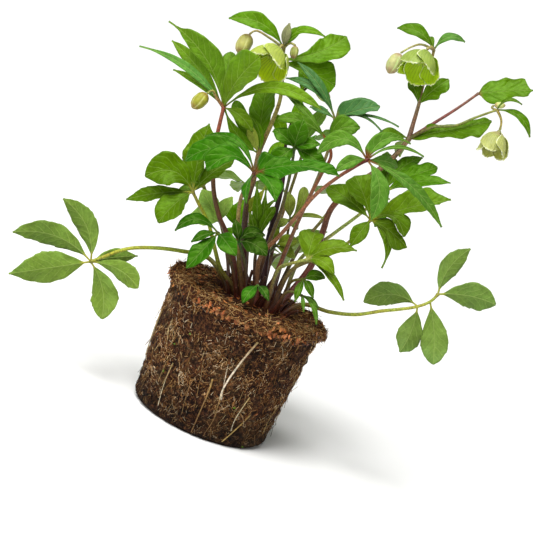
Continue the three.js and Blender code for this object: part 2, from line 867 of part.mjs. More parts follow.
// Each branch starts on the stem at its first place. Bracts are leaflets that
// grow from a place on the stem, called their node.
const flowerStems = {
  flower_stem_left: {
    root: [-14, 0],
    via: [
      [-12.8, 27, 0],
      [-20, 53.6, 2],
      [-24.2, 63.2, 3],
      [-29, 85, 4],
      [-28.6, 117.6, 4],
      [-25, 135.2, 4],
      [-21.1, 151.4, 5],
    ],
    radii: [2.4, 1.5],
    branches: [
      {
        via: [
          [-21.1, 151.4, 5],
          [-26.5, 159, 8],
          [-30, 165, 12],
          [-33.6, 163.2, 14],
        ],
        radii: [1.1, 0.8],
      },
    ],
    groups: [
      {
        node: [-21.1, 151.4, 5],
        face: [-0.2, 0.3, 1],
        leaflets: [
          {
            tip: [-65, 220.5, 8],
            bow: 9,
            edges: [
              [0.27, 2, 8],
              [0.46, 4, 12.5],
              [0.63, 6, 10],
              [0.79, 3.8, 6],
              [0.88, 1.2, 1.4],
            ],
          },
          { tip: [-88.5, 200.6, 2], width: 7, bow: 8, peak: 0.45 },
          { tip: [-61.4, 181.8, -4], width: 6, bow: 3 },
          { tip: [-62.4, 205.1, -10], width: 12, bow: 3 },
          {
            tip: [8, 192, 30],
            bow: -2,
            edges: [
              [0.3, 6.5, 5],
              [0.55, 12.5, 10],
              [0.77, 15, 12],
              [0.92, 11, 8.5],
            ],
          },
          { tip: [-15, 196, -10], width: 13, peak: 0.7 },
          { tip: [57, 150, 26], width: 11, bow: -15, peak: 0.6 },
          { tip: [2, 132, 10], width: 11, bow: -3 },
        ],
      },
    ],
  },
  flower_stem_middle: {
    root: [-8, 8],
    via: [
      [-5, 30, -16],
      [-4.4, 56, -14],
      [-1.6, 79.2, -11],
      [2.8, 93.6, -9],
      [7, 114.7, -7],
      [12, 127.2, -6],
      [17.4, 139.2, -5],
      [24, 157.6, -7],
      [26, 176, -8],
      [27, 199, -2],
    ],
    radii: [3, 1.3],
    branches: [
      { via: [[27, 199, -2], [26, 201.5, 1], [24.5, 200, 3]], radii: [1.1, 0.9] },
      { via: [[27, 199, -2], [16, 207, -6], [5, 213, -8], [0, 210.4, -5]], radii: [1, 0.7] },
      { via: [[27, 199, -2], [32, 203, 1], [36, 201.4, 3]], radii: [0.9, 0.7] },
    ],
    groups: [
      {
        node: [-3.2, 66, -12.6],
        face: [-0.2, 0.3, 1],
        leaflets: [{ tip: [13, 88.5, -7], width: 9, bow: 1, arch: 2, peak: 0.4 }],
      },
      {
        node: [7, 114.7, -7],
        face: [-0.4, 0.3, 1],
        leaflets: [
          { tip: [-20, 150, -4], width: 10, bow: -4, peak: 0.4 },
          { tip: [-1, 143, -2], width: 9, arch: 3, peak: 0.45 },
          { tip: [-12, 157, -10], width: 12, peak: 0.7 },
          { tip: [2, 143, -4], width: 7, bow: 5 },
          { tip: [14, 168, -26], width: 22, peak: 0.66 },
        ],
      },
      {
        node: [27, 199, -2],
        face: [0, 0.4, 1],
        leaflets: [
          { tip: [-17, 222.9, 4], width: 14.5, bow: 7 },
          { tip: [31.7, 219, 4], width: 7.5 },
          { tip: [60, 208.2, 8], width: 7, bow: -8 },
          { tip: [40, 215, -14], width: 9 },
          {
            from: [26.6, 190, -4.3],
            tip: [77, 208.5, -24],
            bow: 6,
            edges: [
              [0.33, 3.4, 8],
              [0.5, 7.5, 12],
              [0.66, 9.8, 14.5],
              [0.78, 9.5, 14],
              [0.92, 5, 9],
            ],
          },
          {
            from: [26.5, 187, -5],
            tip: [68, 169, -16],
            edges: [
              [0.3, 8, 3],
              [0.45, 13, 8],
              [0.62, 15, 13.5],
              [0.8, 15, 16],
              [0.92, 10, 9],
            ],
          },
        ],
      },
    ],
  },
  flower_stem_dark: {
    root: [9, 1],
    via: [
      [14.4, 43.2, -10],
      [20, 66, -12],
      [25.6, 89.6, -14],
      [28.8, 125.6, -18],
      [33.6, 140, -18],
      [40.5, 161.9, -17],
    ],
    radii: [3.1, 1.1],
    branches: [
      { via: [[40.5, 161.9, -17], [47, 168, -24], [53, 168, -28]], radii: [0.9, 0.7] },
    ],
    groups: [
      {
        node: [28.8, 125.6, -18],
        face: [0, 0.3, 1],
        leaflets: [
          { tip: [19, 147, -14], width: 11 },
          { tip: [14, 108, -8], width: 10 },
        ],
      },
      {
        node: [40.5, 161.9, -17],
        face: [0, 0.3, 1],
        leaflets: [
          { tip: [37, 130, -10], width: 12 },
          { tip: [48, 188, -28], width: 13 },
        ],
      },
    ],
  },
  flower_stem_right: {
    root: [24, -2],
    via: [
      [48.8, 24.8, -6],
      [58.2, 52.2, -7],
      [65, 70.6, -7],
      [85, 90, -8],
      [109.1, 106.4, -8],
      [127, 126.4, -8],
    ],
    radii: [3, 2],
    branches: [
      {
        via: [
          [127, 126.4, -8],
          [131, 140.2, -10],
          [135.1, 154.4, -11],
          [139, 172, -12],
          [145, 188, -12],
          [147, 197.5, -10],
        ],
        radii: [1.7, 1.1],
      },
      {
        via: [
          [127, 126.4, -8],
          [147, 139, -10],
          [166, 151, -10],
          [182.6, 162.7, -8],
        ],
        radii: [1.4, 1],
      },
      {
        via: [
          [127, 126.4, -8],
          [147, 136, -2],
          [164, 137, 1],
          [181, 143.8, 3],
          [197.6, 149.6, 5],
        ],
        radii: [1.2, 0.9],
      },
      { via: [[147, 197.5, -10], [145, 200, -5], [142, 198.5, -1]], radii: [1, 0.9] },
      {
        via: [
          [147, 197.5, -10],
          [137, 202, -9],
          [129, 200, -7],
          [121, 195.5, -5],
        ],
        radii: [0.9, 0.7],
      },
      { via: [[197.6, 149.6, 5], [201, 141.3, 5], [200, 134, 5]], radii: [0.9, 0.7] },
      { via: [[197.6, 149.6, 5], [193.4, 151.4, 4.6], [194.8, 153, 3.8]], radii: [0.8, 0.6] },
    ],
    groups: [
      {
        node: [127, 126.4, -8],
        face: [0, 0.6, 0.8],
        leaflets: [
          {
            tip: [193.4, 140.5, 0],
            arch: 1,
            fold: 0.1,
            edges: [
              [0.14, 5, 4.5],
              [0.28, 9, 4.5],
              [0.42, 5.5, 7.5],
              [0.58, 4, 12.5],
              [0.76, 5, 15],
              [0.91, 5, 9.5],
            ],
          },
          { tip: [98, 119, 2], width: 14, bow: 4, peak: 0.5 },
          { tip: [120, 112, -40], width: 12 },
        ],
      },
      {
        node: [135.1, 154.4, -11],
        face: [0, 0.4, 1],
        leaflets: [
          {
            tip: [127.5, 173, -17],
            edges: [
              [0.4, 2.5, 5],
              [0.6, 4.5, 7.5],
              [0.86, 3, 6],
            ],
          },
          {
            tip: [159, 174, -8],
            edges: [
              [0.25, 3.5, 4],
              [0.47, 6, 9.2],
              [0.58, 6, 7.2],
              [0.68, 5.8, 9.3],
              [0.86, 4, 7],
            ],
          },
        ],
      },
      {
        node: [147, 197.5, -10],
        face: [0, 0.5, 1],
        leaflets: [
          { tip: [117.8, 215, -14], width: 12, bow: 4 },
          { tip: [172, 203.8, -12], width: 8, bow: -5 },
          { tip: [143, 208, -18], width: 5 },
        ],
      },
      {
        node: [182.6, 162.7, -8],
        face: [0, 0.6, 0.8],
        leaflets: [
          {
            tip: [227, 165, -10],
            arch: 1,
            fold: 0.1,
            edges: [
              [0.12, 8, 10],
              [0.3, 11, 14],
              [0.48, 12, 9.5],
              [0.68, 13.5, 8],
              [0.87, 12, 6],
              [0.93, 2, 2],
            ],
          },
          { tip: [200, 152, -16], width: 9 },
        ],
      },
      {
        node: [197.6, 149.6, 5],
        face: [0, 0.6, 0.8],
        leaflets: [
          { tip: [223.7, 127.7, 8], width: 8, bow: -5 },
          { tip: [217.6, 153.8, 9], width: 4, bow: -2, arch: 6 },
        ],
      },
    ],
  },
};

function flowerStem(name, { root, via, radii, branches, groups }) {
  const pieces = [rooted(root, via, radii)];
  for (const branch of branches) {
    const [start, end] = branch.radii;
    pieces.push(stalk(branch.via.map(place), start, end, BRANCH_SIDES));
  }
  for (const group of groups) {
    const node = place(group.node);
    pieces.push(knot(node, NODE_RADIUS), ...leaflets(node, group.leaflets, group.face));
  }
  return named(name, joined(pieces), finishes.stem);
}

// ---- blooms and buds ----------------------------------------------------

// Axes for something that points from its seat towards aim.
function facing(seat, aim) {
  const axis = aim.clone().sub(seat).normalize();
  const steep = Math.abs(axis.z) > 0.9;
  const helper = steep ? new THREE.Vector3(1, 0, 0) : new THREE.Vector3(0, 0, 1);
  const first = new THREE.Vector3().crossVectors(axis, helper).normalize();
  const second = new THREE.Vector3().crossVectors(axis, first);
  return { axis, first, second };
}

const TEPALS = 5;
const TEPAL_TURN = 0.3; // where round the bloom the first tepal stands, in radians
const TEPAL_HALF_ANGLE = 0.68; // about the bloom's axis, in radians
const TEPAL_TUCK = 2; // each tepal has one edge outside its neighbour and one inside
const TEPAL_CURVE = 1.7; // how soon a tepal spreads to the mouth, in radians of a sine
const TEPAL_ROUNDING = 1.5; // power of the cup's depth along a tepal
const TEPAL_BACK = 1.2; // a tepal starts this far behind the middle of the heart
const HEART_RADIUS = 2.6;
const STAMENS = 5;
const STAMEN_RADIUS = 0.6;
const STAMEN_LENGTH = 0.55; // against the bloom's depth
const STAMEN_SPREADS = [2, 3.6]; // how far out the stamens' tips stand, in turn

// Stations along a tepal, and its width at each, as a share of its half angle.
const tepalWidth = new Map([
  [0, 0.2],
  [0.35, 1],
  [0.72, 1.25],
  [1, 0.62],
]);

// A bloom: five broad tepals in a cup around a tuft of stamens. open is how
// far the cup's mouth spreads, against its depth.
function bloom(name, { seat, aim, depth, open }) {
  const back = place(seat);
  const { axis, first, second } = facing(back, place(aim));
  const radial = (angle) =>
    first.clone().multiplyScalar(Math.cos(angle)).addScaledVector(second, Math.sin(angle));
  const heart = back.clone().addScaledVector(axis, SEAT_GAP + HEART_RADIUS);
  const pieces = [knot(heart, HEART_RADIUS)];
  for (let i = 0; i < TEPALS; i++) {
    const middle = (2 * Math.PI * i) / TEPALS + TEPAL_TURN;
    const point = (along, across) => {
      const angle = middle + across * tepalWidth.get(along) * TEPAL_HALF_ANGLE;
      const reach = depth * open * Math.sin(TEPAL_CURVE * along) + 1;
      const outward = radial(angle);
      const at = heart
        .clone()
        .addScaledVector(outward, reach + TEPAL_TUCK * across * Math.min(3 * along, 1))
        .addScaledVector(axis, depth * along ** TEPAL_ROUNDING - TEPAL_BACK);
      const normal = outward.clone().addScaledVector(axis, -0.35 + 0.2 * along).normalize();
      return { at, normal };
    };
    pieces.push(skin([...tepalWidth.keys()], [-1, 0, 1], point));
  }
  for (let i = 0; i < STAMENS; i++) {
    const outward = radial((2 * Math.PI * i) / STAMENS);
    const root = heart.clone().addScaledVector(outward, 0.8);
    const end = heart
      .clone()
      .addScaledVector(outward, STAMEN_SPREADS[i % 2])
      .addScaledVector(axis, depth * STAMEN_LENGTH);
    pieces.push(stalk([root, end], STAMEN_RADIUS, STAMEN_RADIUS, 3));
  }
  return named(name, joined(pieces), finishes.bloom);
}

const BUD_SIDES = 8;
const BUD_GROOVE = 0.92; // radius in a groove, against that on a lobe

// A bud's radius along it, as a share of the most.
const budProfile = [
  [0, 0.3],
  [0.1, 0.7],
  [0.3, 0.97],
  [0.55, 1],
  [0.85, 0.72],
  [1, 0.25],
];

// A bud: a lobed egg from its seat to aim, widest at the middle.
function bud(name, { seat, aim, radius }) {
  const back = place(seat);
  const { axis, first, second } = facing(back, place(aim));
  const length = place(aim).distanceTo(back);
  const rings = budProfile.map(([along, reach]) => {
    const centre = back.clone().addScaledVector(axis, SEAT_GAP + length * along);
    return Array.from({ length: BUD_SIDES }, (_, i) => {
      const angle = (2 * Math.PI * i) / BUD_SIDES;
      const lobed = radius * reach * (i % 2 ? 1 : BUD_GROOVE);
      return centre
        .clone()
        .addScaledVector(first, lobed * Math.cos(angle))
        .addScaledVector(second, lobed * Math.sin(angle));
    });
  });
  return named(name, loft(rings), finishes.bud);
}

const blooms = {
  bloom_middle: { seat: [23.6, 199, 4], aim: [11, 181, 16], depth: 23, open: 0.68 },
  bloom_right: { seat: [141, 197, 0.5], aim: [132, 176, 11], depth: 23, open: 0.64 },
  bloom_far_right: { seat: [199.6, 133.2, 5], aim: [192, 112, 9], depth: 20, open: 0.5 },
};

const buds = {
  bud_left: { seat: [-34.3, 162.6, 14.3], aim: [-46, 151.5, 16], radius: 5.8 },
  bud_top: { seat: [-0.4, 209.8, -4.6], aim: [-9, 195, -2], radius: 6.4 },
  bud_small_middle: { seat: [36.4, 200.8, 3.3], aim: [34.5, 191, 6], radius: 3.5 },
  bud_right: { seat: [120.2, 194.4, -4.8], aim: [111, 179.5, -2], radius: 6.2 },
  bud_small_far_right: { seat: [195.5, 153.5, 3.4], aim: [204, 153.2, 2.8], radius: 2.7 },
  bud_hidden: { seat: [53.6, 167.5, -28.5], aim: [63, 157, -32], radius: 5 },
};

// ---- root ball ----------------------------------------------------------

// A smooth bumpy field between about -1 and 1, the same on every run.
function lumps(x, y, z, size) {
  const [a, b, c] = [x / size, y / size, z / size];
  return (
    (Math.sin(a * 2.1 + b * 1.3 + 0.7) +
      Math.sin(b * 2.7 - c * 1.9 + 2.1) +
      Math.sin(c * 2.3 + a * 1.1 + 4.2) +
      Math.sin(a * 3.1 - b * 2.3 + c * 2.9)) /
    4
  );
}

// The middle rings of the side, as [outward of the base's radius, height].
const ballRings = [
  [1.6, 25],
  [3.5, 50],
  [5.2, 75],
];
const BASE_CHAMFER = 3;
const BALL_BUMPS = 1.1;
const MAT_BUMPS = 3.4; // the mat's edge is ragged
const TOP_BUMPS = 1.2;

function rootBall() {
  const underMat = BALL_HEIGHT - MAT_THICKNESS;
  const profile = [
    [BALL_BASE_RADIUS - BASE_CHAMFER, 0],
    [BALL_BASE_RADIUS, BASE_CHAMFER],
    ...ballRings.map(([out, height]) => [BALL_BASE_RADIUS + out, height]),
    [BALL_NECK_RADIUS, underMat - 2],
    [MAT_RADIUS - 1, underMat + 2],
    [MAT_RADIUS, BALL_HEIGHT - 4],
    [MAT_RADIUS - 4, BALL_HEIGHT],
    [MAT_RADIUS * 0.6, BALL_HEIGHT - 0.4],
  ];
  const rings = profile.map(([radius, height]) =>
    Array.from({ length: BALL_SIDES }, (_, i) => {
      const angle = (2 * Math.PI * i) / BALL_SIDES;
      const [x, y] = [radius * Math.cos(angle), radius * Math.sin(angle)];
      if (height === 0) return new THREE.Vector3(x, y, 0);
      const onEdge = height > underMat && radius > MAT_RADIUS * 0.9;
      const onTop = height > underMat + 2 && !onEdge;
      const push = (onEdge ? MAT_BUMPS : BALL_BUMPS) * lumps(x, y, height * 2, 9);
      const lift = onTop ? TOP_BUMPS * lumps(y, height, x, 12) : 0;
      const scale = 1 + push / radius;
      return new THREE.Vector3(x * scale, y * scale, height + lift);
    }),
  );
  const pieces = [loft(rings)];
  const flare = (BALL_NECK_RADIUS - BALL_BASE_RADIUS) / underMat;
  for (const { angle, from, to, drift, thick } of sideRoots) {
    const at = (height, turn) => {
      const radius = BALL_BASE_RADIUS + flare * height + 0.5;
      return new THREE.Vector3(radius * Math.cos(turn), radius * Math.sin(turn), height);
    };
    const start = THREE.MathUtils.degToRad(angle);
    const path = [0, 0.5, 1].map((part) =>
      at(from + (to - from) * part, start + THREE.MathUtils.degToRad(drift) * part),
    );
    pieces.push(stalk(path, thick, thick * 0.6, BRANCH_SIDES));
  }
  return joined(pieces);
}

// Thick pale roots that run down the side: the angle they start at, the
// heights between which they run, and how far round they drift.
const sideRoots = [
  { angle: -74, from: 90, to: 8, drift: -6, thick: 1.5 },
  { angle: -91, from: 50, to: 5, drift: 1, thick: 1.4 },
  { angle: -124.5, from: 46, to: 9, drift: 0.5, thick: 1.4 },
  { angle: 10, from: 80, to: 30, drift: 18, thick: 1.4 },
  { angle: 105, from: 84, to: 40, drift: 20, thick: 1.5 },
  { angle: 195, from: 74, to: 30, drift: -14, thick: 1.4 },
];

// ---- the plant ----------------------------------------------------------

const plant = new THREE.Group();
plant.name = "hellebore";
for (const [name, shape] of Object.entries(leaves)) plant.add(leaf(name, shape));
for (const [name, shape] of Object.entries(flowerStems)) plant.add(flowerStem(name, shape));
for (const [name, shape] of Object.entries(blooms)) plant.add(bloom(name, shape));
for (const [name, shape] of Object.entries(buds)) plant.add(bud(name, shape));
plant.add(named("root_ball", rootBall().subtract(joined(sockets)), finishes.compost));

export default plant;
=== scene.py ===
# Young hellebore with a bare root ball: fine geometry, materials, light and camera.
import math
import random

import bpy
import numpy as np
from mathutils import Matrix, Vector, noise


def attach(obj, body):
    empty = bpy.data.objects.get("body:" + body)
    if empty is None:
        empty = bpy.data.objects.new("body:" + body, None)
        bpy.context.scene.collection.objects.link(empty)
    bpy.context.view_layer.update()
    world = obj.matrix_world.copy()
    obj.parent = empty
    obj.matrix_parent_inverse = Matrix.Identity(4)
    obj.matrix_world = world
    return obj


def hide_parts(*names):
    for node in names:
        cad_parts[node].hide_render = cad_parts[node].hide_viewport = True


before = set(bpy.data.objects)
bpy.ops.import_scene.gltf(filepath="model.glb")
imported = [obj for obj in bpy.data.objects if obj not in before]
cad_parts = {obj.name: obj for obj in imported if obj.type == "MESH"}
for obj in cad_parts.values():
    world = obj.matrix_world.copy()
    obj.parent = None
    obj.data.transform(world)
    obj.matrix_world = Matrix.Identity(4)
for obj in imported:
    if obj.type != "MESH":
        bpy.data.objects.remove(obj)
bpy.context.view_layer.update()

mm = 0.001
roughTurn = 6.28  # radians, for random phases

# The plant is laid out in mm on a sheet that leans with it: (across, upward, forward)
# from the middle of the ball's top.
sheet = {
    "lean": 23.5,  # degrees
    "pitch": 11,  # degrees
    "eye": 1300,  # mm in front of the sheet
    "middle": (13.2, 24.4),  # where the eye looks straight at the sheet
    "viewWidth": 426.4,  # mm of the sheet across the view
}
ballHeight = 108

lean, pitch = math.radians(sheet["lean"]), math.radians(sheet["pitch"])
sheetUp = np.array([0, math.sin(pitch), math.cos(pitch)])
sheetFront = np.array([0, -math.cos(pitch), math.sin(pitch)])
acrossAxis = np.array([math.cos(lean), 0, 0]) + math.sin(lean) * sheetUp
upwardAxis = np.array([-math.sin(lean), 0, 0]) + math.cos(lean) * sheetUp
ballTop = np.array([0, 0, ballHeight])


def heading(parts):
    return parts[0] * acrossAxis + parts[1] * upwardAxis + parts[2] * sheetFront


def place(spot):
    # What stands forward of the sheet is drawn in, so that it keeps its place in the view.
    near = 1 - spot[2] / sheet["eye"]
    across, upward = (middle + (s - middle) * near for s, middle in zip(spot, sheet["middle"]))
    return (heading((across, upward, spot[2])) + ballTop) * mm


def unit(vectors):
    length = np.linalg.norm(vectors, axis=-1, keepdims=True)
    return vectors / np.maximum(length, 1e-12)


def tone(code):
    channels = [int(code[i : i + 2], 16) / 255 for i in (1, 3, 5)]
    linear = [c / 12.92 if c <= 0.04045 else ((c + 0.055) / 1.055) ** 2.4 for c in channels]
    return np.array(linear + [1.0])


# Meshes


def linked(obj):
    bpy.context.scene.collection.objects.link(obj)
    return obj


def smoothFaces(obj):
    obj.data.shade_smooth()
    return obj


def storeValues(mesh, name, kind, values):
    field = {"FLOAT": "value", "FLOAT_VECTOR": "vector", "FLOAT_COLOR": "color"}[kind]
    attribute = mesh.attributes.new(name, kind, "POINT")
    attribute.data.foreach_set(field, np.asarray(values, np.float32).ravel())


def vertexPlaces(mesh):
    places = np.zeros(len(mesh.vertices) * 3, np.float32)
    mesh.vertices.foreach_get("co", places)
    return places.reshape(-1, 3)


def meshObject(name, points, faces, materials, edges=(), uv=None, floats=None, tint=None):
    mesh = bpy.data.meshes.new(name)
    mesh.from_pydata(*([tuple(item) for item in items] for items in (points, edges, faces)))
    for material in materials:
        mesh.materials.append(material)
    if uv is not None:
        corners = np.zeros(len(mesh.loops), np.int32)
        mesh.loops.foreach_get("vertex_index", corners)
        mesh.uv_layers.new(name="blade").data.foreach_set("uv", np.asarray(uv, np.float32)[corners].ravel())
    for key, values in (floats or {}).items():
        storeValues(mesh, key, "FLOAT", values)
    if tint is not None:
        storeValues(mesh, "tint", "FLOAT_COLOR", tint)
    mesh.update()
    return linked(bpy.data.objects.new(name, mesh))


def closedRings(rows, sides):
    # Faces of a skin over rings of points, closed by one point before and one after them,
    # which come last in the list of points.
    ring = [(i, (i + 1) % sides) for i in range(sides)]
    starts = [row * sides for row in range(rows)]
    faces = [(low + i, low + j, low + sides + j, low + sides + i) for low in starts[:-1] for i, j in ring]
    foot, head, last = rows * sides, rows * sides + 1, starts[-1]
    return faces + [(foot, j, i) for i, j in ring] + [(head, last + i, last + j) for i, j in ring]


def fused(name, objects):
    first = objects[0]
    with bpy.context.temp_override(
        active_object=first, object=first, selected_objects=objects, selected_editable_objects=objects
    ):
        bpy.ops.object.join()
    first.name = first.data.name = name
    return first


def settle(obj, slot, *nodes):
    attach(obj, "root")
    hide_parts(*nodes)
    return obj


def hermite(t, span, start, end, startSlope, endSlope):
    return (
        (2 * t**3 - 3 * t**2 + 1) * start
        + (t**3 - 2 * t**2 + t) * span * startSlope
        + (3 * t**2 - 2 * t**3) * end
        + (t**3 - t**2) * span * endSlope
    )


def smoothPath(points, step=1.5 * mm):
    # A curve through the points and, for each of its places, how many points it has passed.
    points = np.asarray(points, float)
    strides = np.linalg.norm(np.diff(points, axis=0), axis=1)
    knots = np.concatenate([[0], np.cumsum(strides**0.5)])
    pace = np.diff(points, axis=0) / np.diff(knots)[:, None]
    slopes = np.zeros_like(points)
    whole = (points[2:] - points[:-2]) / (knots[2:] - knots[:-2])[:, None]
    slopes[1:-1] = pace[:-1] + pace[1:] - whole
    slopes[0] = 1.5 * pace[0] - slopes[1] / 2
    slopes[-1] = 1.5 * pace[-1] - slopes[-2] / 2
    places, passed = [points[:1]], [[0.0]]
    for i, stride in enumerate(strides):
        t = np.linspace(0, 1, max(int(stride / step), 2) + 1)[1:, None]
        ends = points[i], points[i + 1], slopes[i], slopes[i + 1]
        places.append(hermite(t, knots[i + 1] - knots[i], *ends))
        passed.append(i + t[:, 0])
    return np.concatenate(places), np.concatenate(passed)


def easedCurve(at, stations, values):
    # A smooth curve through the values that doesn't overshoot them.
    x, y = np.asarray(stations, float), np.asarray(values, float)
    rise = np.diff(y) / np.diff(x)
    slope = np.concatenate([rise[:1], np.zeros(len(x) - 2), rise[-1:]])
    before, after = rise[:-1], rise[1:]
    same = before * after > 0
    slope[1:-1][same] = 2 * before[same] * after[same] / (before[same] + after[same])
    i = np.clip(np.searchsorted(x, at, side="right") - 1, 0, len(x) - 2)
    span = x[i + 1] - x[i]
    return hermite((at - x[i]) / span, span, y[i], y[i + 1], slope[i], slope[i + 1])


# Nodes. A new node joins the tree of the sockets that feed it, unless its tree is given.


def fill(node, values):
    for key, value in values.items():
        if isinstance(value, bpy.types.NodeSocket):
            node.id_data.links.new(value, node.inputs[key])
        else:
            node.inputs[key].default_value = value


def wire(kind, values=None, out=0, tree=None, **settings):
    values = values or {}
    tree = tree or next(v.id_data for v in values.values() if isinstance(v, bpy.types.NodeSocket))
    node = tree.nodes.new(kind)
    for key, value in settings.items():
        setattr(node, key, value)
    fill(node, values)
    return node.outputs[out]


def reckon(operation, *values):
    return wire("ShaderNodeMath", dict(enumerate(values)), operation=operation)


def times(a, b):
    return reckon("MULTIPLY", a, b)


def timesPlus(a, b, c):
    return reckon("MULTIPLY_ADD", a, b, c)


def away(a, b):
    return reckon("ABSOLUTE", reckon("SUBTRACT", a, b))


def vectorTimes(vector, amount):
    return wire("ShaderNodeVectorMath", {0: vector, "Scale": amount}, operation="SCALE")


def newTree(name, inputs):
    tree = bpy.data.node_groups.new(name, "GeometryNodeTree")
    for label, (kind, value) in {"Geometry": ("Geometry", None), **inputs}.items():
        socket = tree.interface.new_socket(label, in_out="INPUT", socket_type="NodeSocket" + kind)
        if value is not None:
            socket.default_value = value
    tree.interface.new_socket("Geometry", in_out="OUTPUT", socket_type="NodeSocketGeometry")
    return tree, tree.nodes.new("NodeGroupInput").outputs


def endTree(geometry):
    tree = geometry.id_data
    fill(tree.nodes.new("NodeGroupOutput"), {"Geometry": geometry})
    return tree


def runTree(obj, tree, values):
    modifier = obj.modifiers.new(tree.name, "NODES")
    modifier.node_group = tree
    for item in tree.interface.items_tree:
        if item.item_type == "SOCKET" and item.in_out == "INPUT" and item.name in values:
            modifier[item.identifier] = values[item.name]
    obj.update_tag()
    depsgraph = bpy.context.evaluated_depsgraph_get()
    depsgraph.update()
    evaluated = obj.evaluated_get(depsgraph)
    mesh = bpy.data.meshes.new_from_object(evaluated, preserve_all_data_layers=True, depsgraph=depsgraph)
    obj.modifiers.remove(modifier)
    obj.data = mesh
    return obj


def ownValue(tree, name, kind="FLOAT"):
    return wire("GeometryNodeInputNamedAttribute", {"Name": name}, tree=tree, data_type=kind)


def tube(curve, sides, radius, **more):
    circle = {"Resolution": sides, "Radius": radius}
    section = wire("GeometryNodeCurvePrimitiveCircle", circle, tree=curve.id_data)
    swept = {"Curve": curve, "Profile Curve": section, "Fill Caps": True, **more}
    return wire("GeometryNodeCurveToMesh", swept)


def moved(geometry, offset):
    return wire("GeometryNodeSetPosition", {"Geometry": geometry, "Offset": offset})


def realized(instances):
    return wire("GeometryNodeRealizeInstances", {"Geometry": instances})


def painted(geometry, material):
    return wire("GeometryNodeSetMaterial", {"Geometry": geometry, "Material": material})


def stalkTree():
    # Sweeps a round section along each line of the mesh, as thick as its girth attribute.
    inputs = {"Sides": ("Int", 10), "Unevenness": ("Float", 0.0), "Material": ("Material", None)}
    tree, given = newTree("sweptStalks", inputs)
    girth = ownValue(tree, "girth")
    curve = wire("GeometryNodeMeshToCurve", {"Mesh": given["Geometry"]})
    curve = wire("GeometryNodeSetCurveRadius", {"Curve": curve, "Radius": girth})
    swept = tube(curve, given["Sides"], 1.0, Scale=girth)
    bumps = wire("ShaderNodeTexNoise", {"Scale": 160.0, "Detail": 2.0}, tree=tree)
    amount = times(reckon("SUBTRACT", bumps, 0.5), given["Unevenness"])
    outward = wire("GeometryNodeInputNormal", tree=tree)
    uneven = moved(swept, vectorTimes(outward, amount))
    return endTree(painted(realized(uneven), given["Material"]))


sweptStalks = stalkTree()


def sweep(name, lines, material, sides=10, unevenness=0.3 * mm):
    # lines: (path, radii along it, colours along it), all with one entry for each place.
    paths, girths, tints = (np.concatenate(parts) for parts in zip(*lines))
    edges, first = [], 0
    for path, _, _ in lines:
        edges += [(first + i, first + i + 1) for i in range(len(path) - 1)]
        first += len(path)
    obj = meshObject(name, paths, [], [material], edges, floats={"girth": girths}, tint=tints)
    runTree(obj, sweptStalks, {"Sides": sides, "Unevenness": unevenness, "Material": material})
    return smoothFaces(obj)


def newMaterial(name):
    material = bpy.data.materials.new(name)
    material.use_nodes = True
    return material, material.node_tree


def dressed(material, looks):
    fill(material.node_tree.nodes["Principled BSDF"], looks)
    return material


def objectPlace(tree):
    return wire("ShaderNodeTexCoord", out="Object", tree=tree)


def surfaceValue(tree, name, out="Fac"):
    return wire("ShaderNodeAttribute", out=out, tree=tree, attribute_name=name)


def surfaceMap(tree):
    # The across and along parts of the UV map.
    split = wire("ShaderNodeSeparateXYZ", {0: wire("ShaderNodeUVMap", tree=tree, uv_map="blade")})
    return split, split.node.outputs[1]


def ramp(value, low, high, first=0.0, last=1.0, smooth=True):
    ends = {"Value": value, "From Min": low, "From Max": high, "To Min": first, "To Max": last}
    return wire("ShaderNodeMapRange", ends, interpolation_type="SMOOTHSTEP" if smooth else "LINEAR")


def blend(factor, a, b, mode="MIX"):
    return wire("ShaderNodeMix", {0: factor, 6: a, 7: b}, out=2, data_type="RGBA", blend_type=mode)


def tinted(colour, red, green, blue):
    return blend(1.0, colour, [red, green, blue, 1.0], "MULTIPLY")


def shaded(colour, amount):
    grey = wire("ShaderNodeCombineColor", {0: amount, 1: amount, 2: amount})
    return blend(1.0, colour, grey, "MULTIPLY")


def grain(spots, scale, detail=3.0, roughness=0.55):
    values = {"Vector": spots, "Scale": scale, "Detail": detail, "Roughness": roughness}
    return wire("ShaderNodeTexNoise", values)


def relief(height, distance, strength=1.0):
    return wire("ShaderNodeBump", {"Height": height, "Distance": distance, "Strength": strength})


# Leaves

bladeLook = {
    "veinSpacing": 7,  # mm between lateral veins
    "veinSlant": 1.3,  # how far they run forward for each mm outward
    "veinWander": 11.0,  # mm
    "veinWidth": 0.42,  # mm
    "veinColour": "#b4c878",
    "ribStrength": 0.5,
    "veinStrength": 0.5,
    "netScale": 380,
    "netShade": 0.86,
    "relief": 0.6,  # mm
    "gloss": 0.34,
}
leafFinish = {
    "leaf_green": {"roughness": 0.4, "warmth": 0.14, "sheen": "#b4ec58"},
    "leaf_pale": {"roughness": 0.42, "warmth": 0.1, "sheen": "#d4f0a4"},
    "leaf_dark": {"roughness": 0.38, "warmth": 0.08, "sheen": "#b4ec58"},
    "leaf_blue": {"roughness": 0.42, "warmth": 0.02, "sheen": "#c4ecb8"},
}


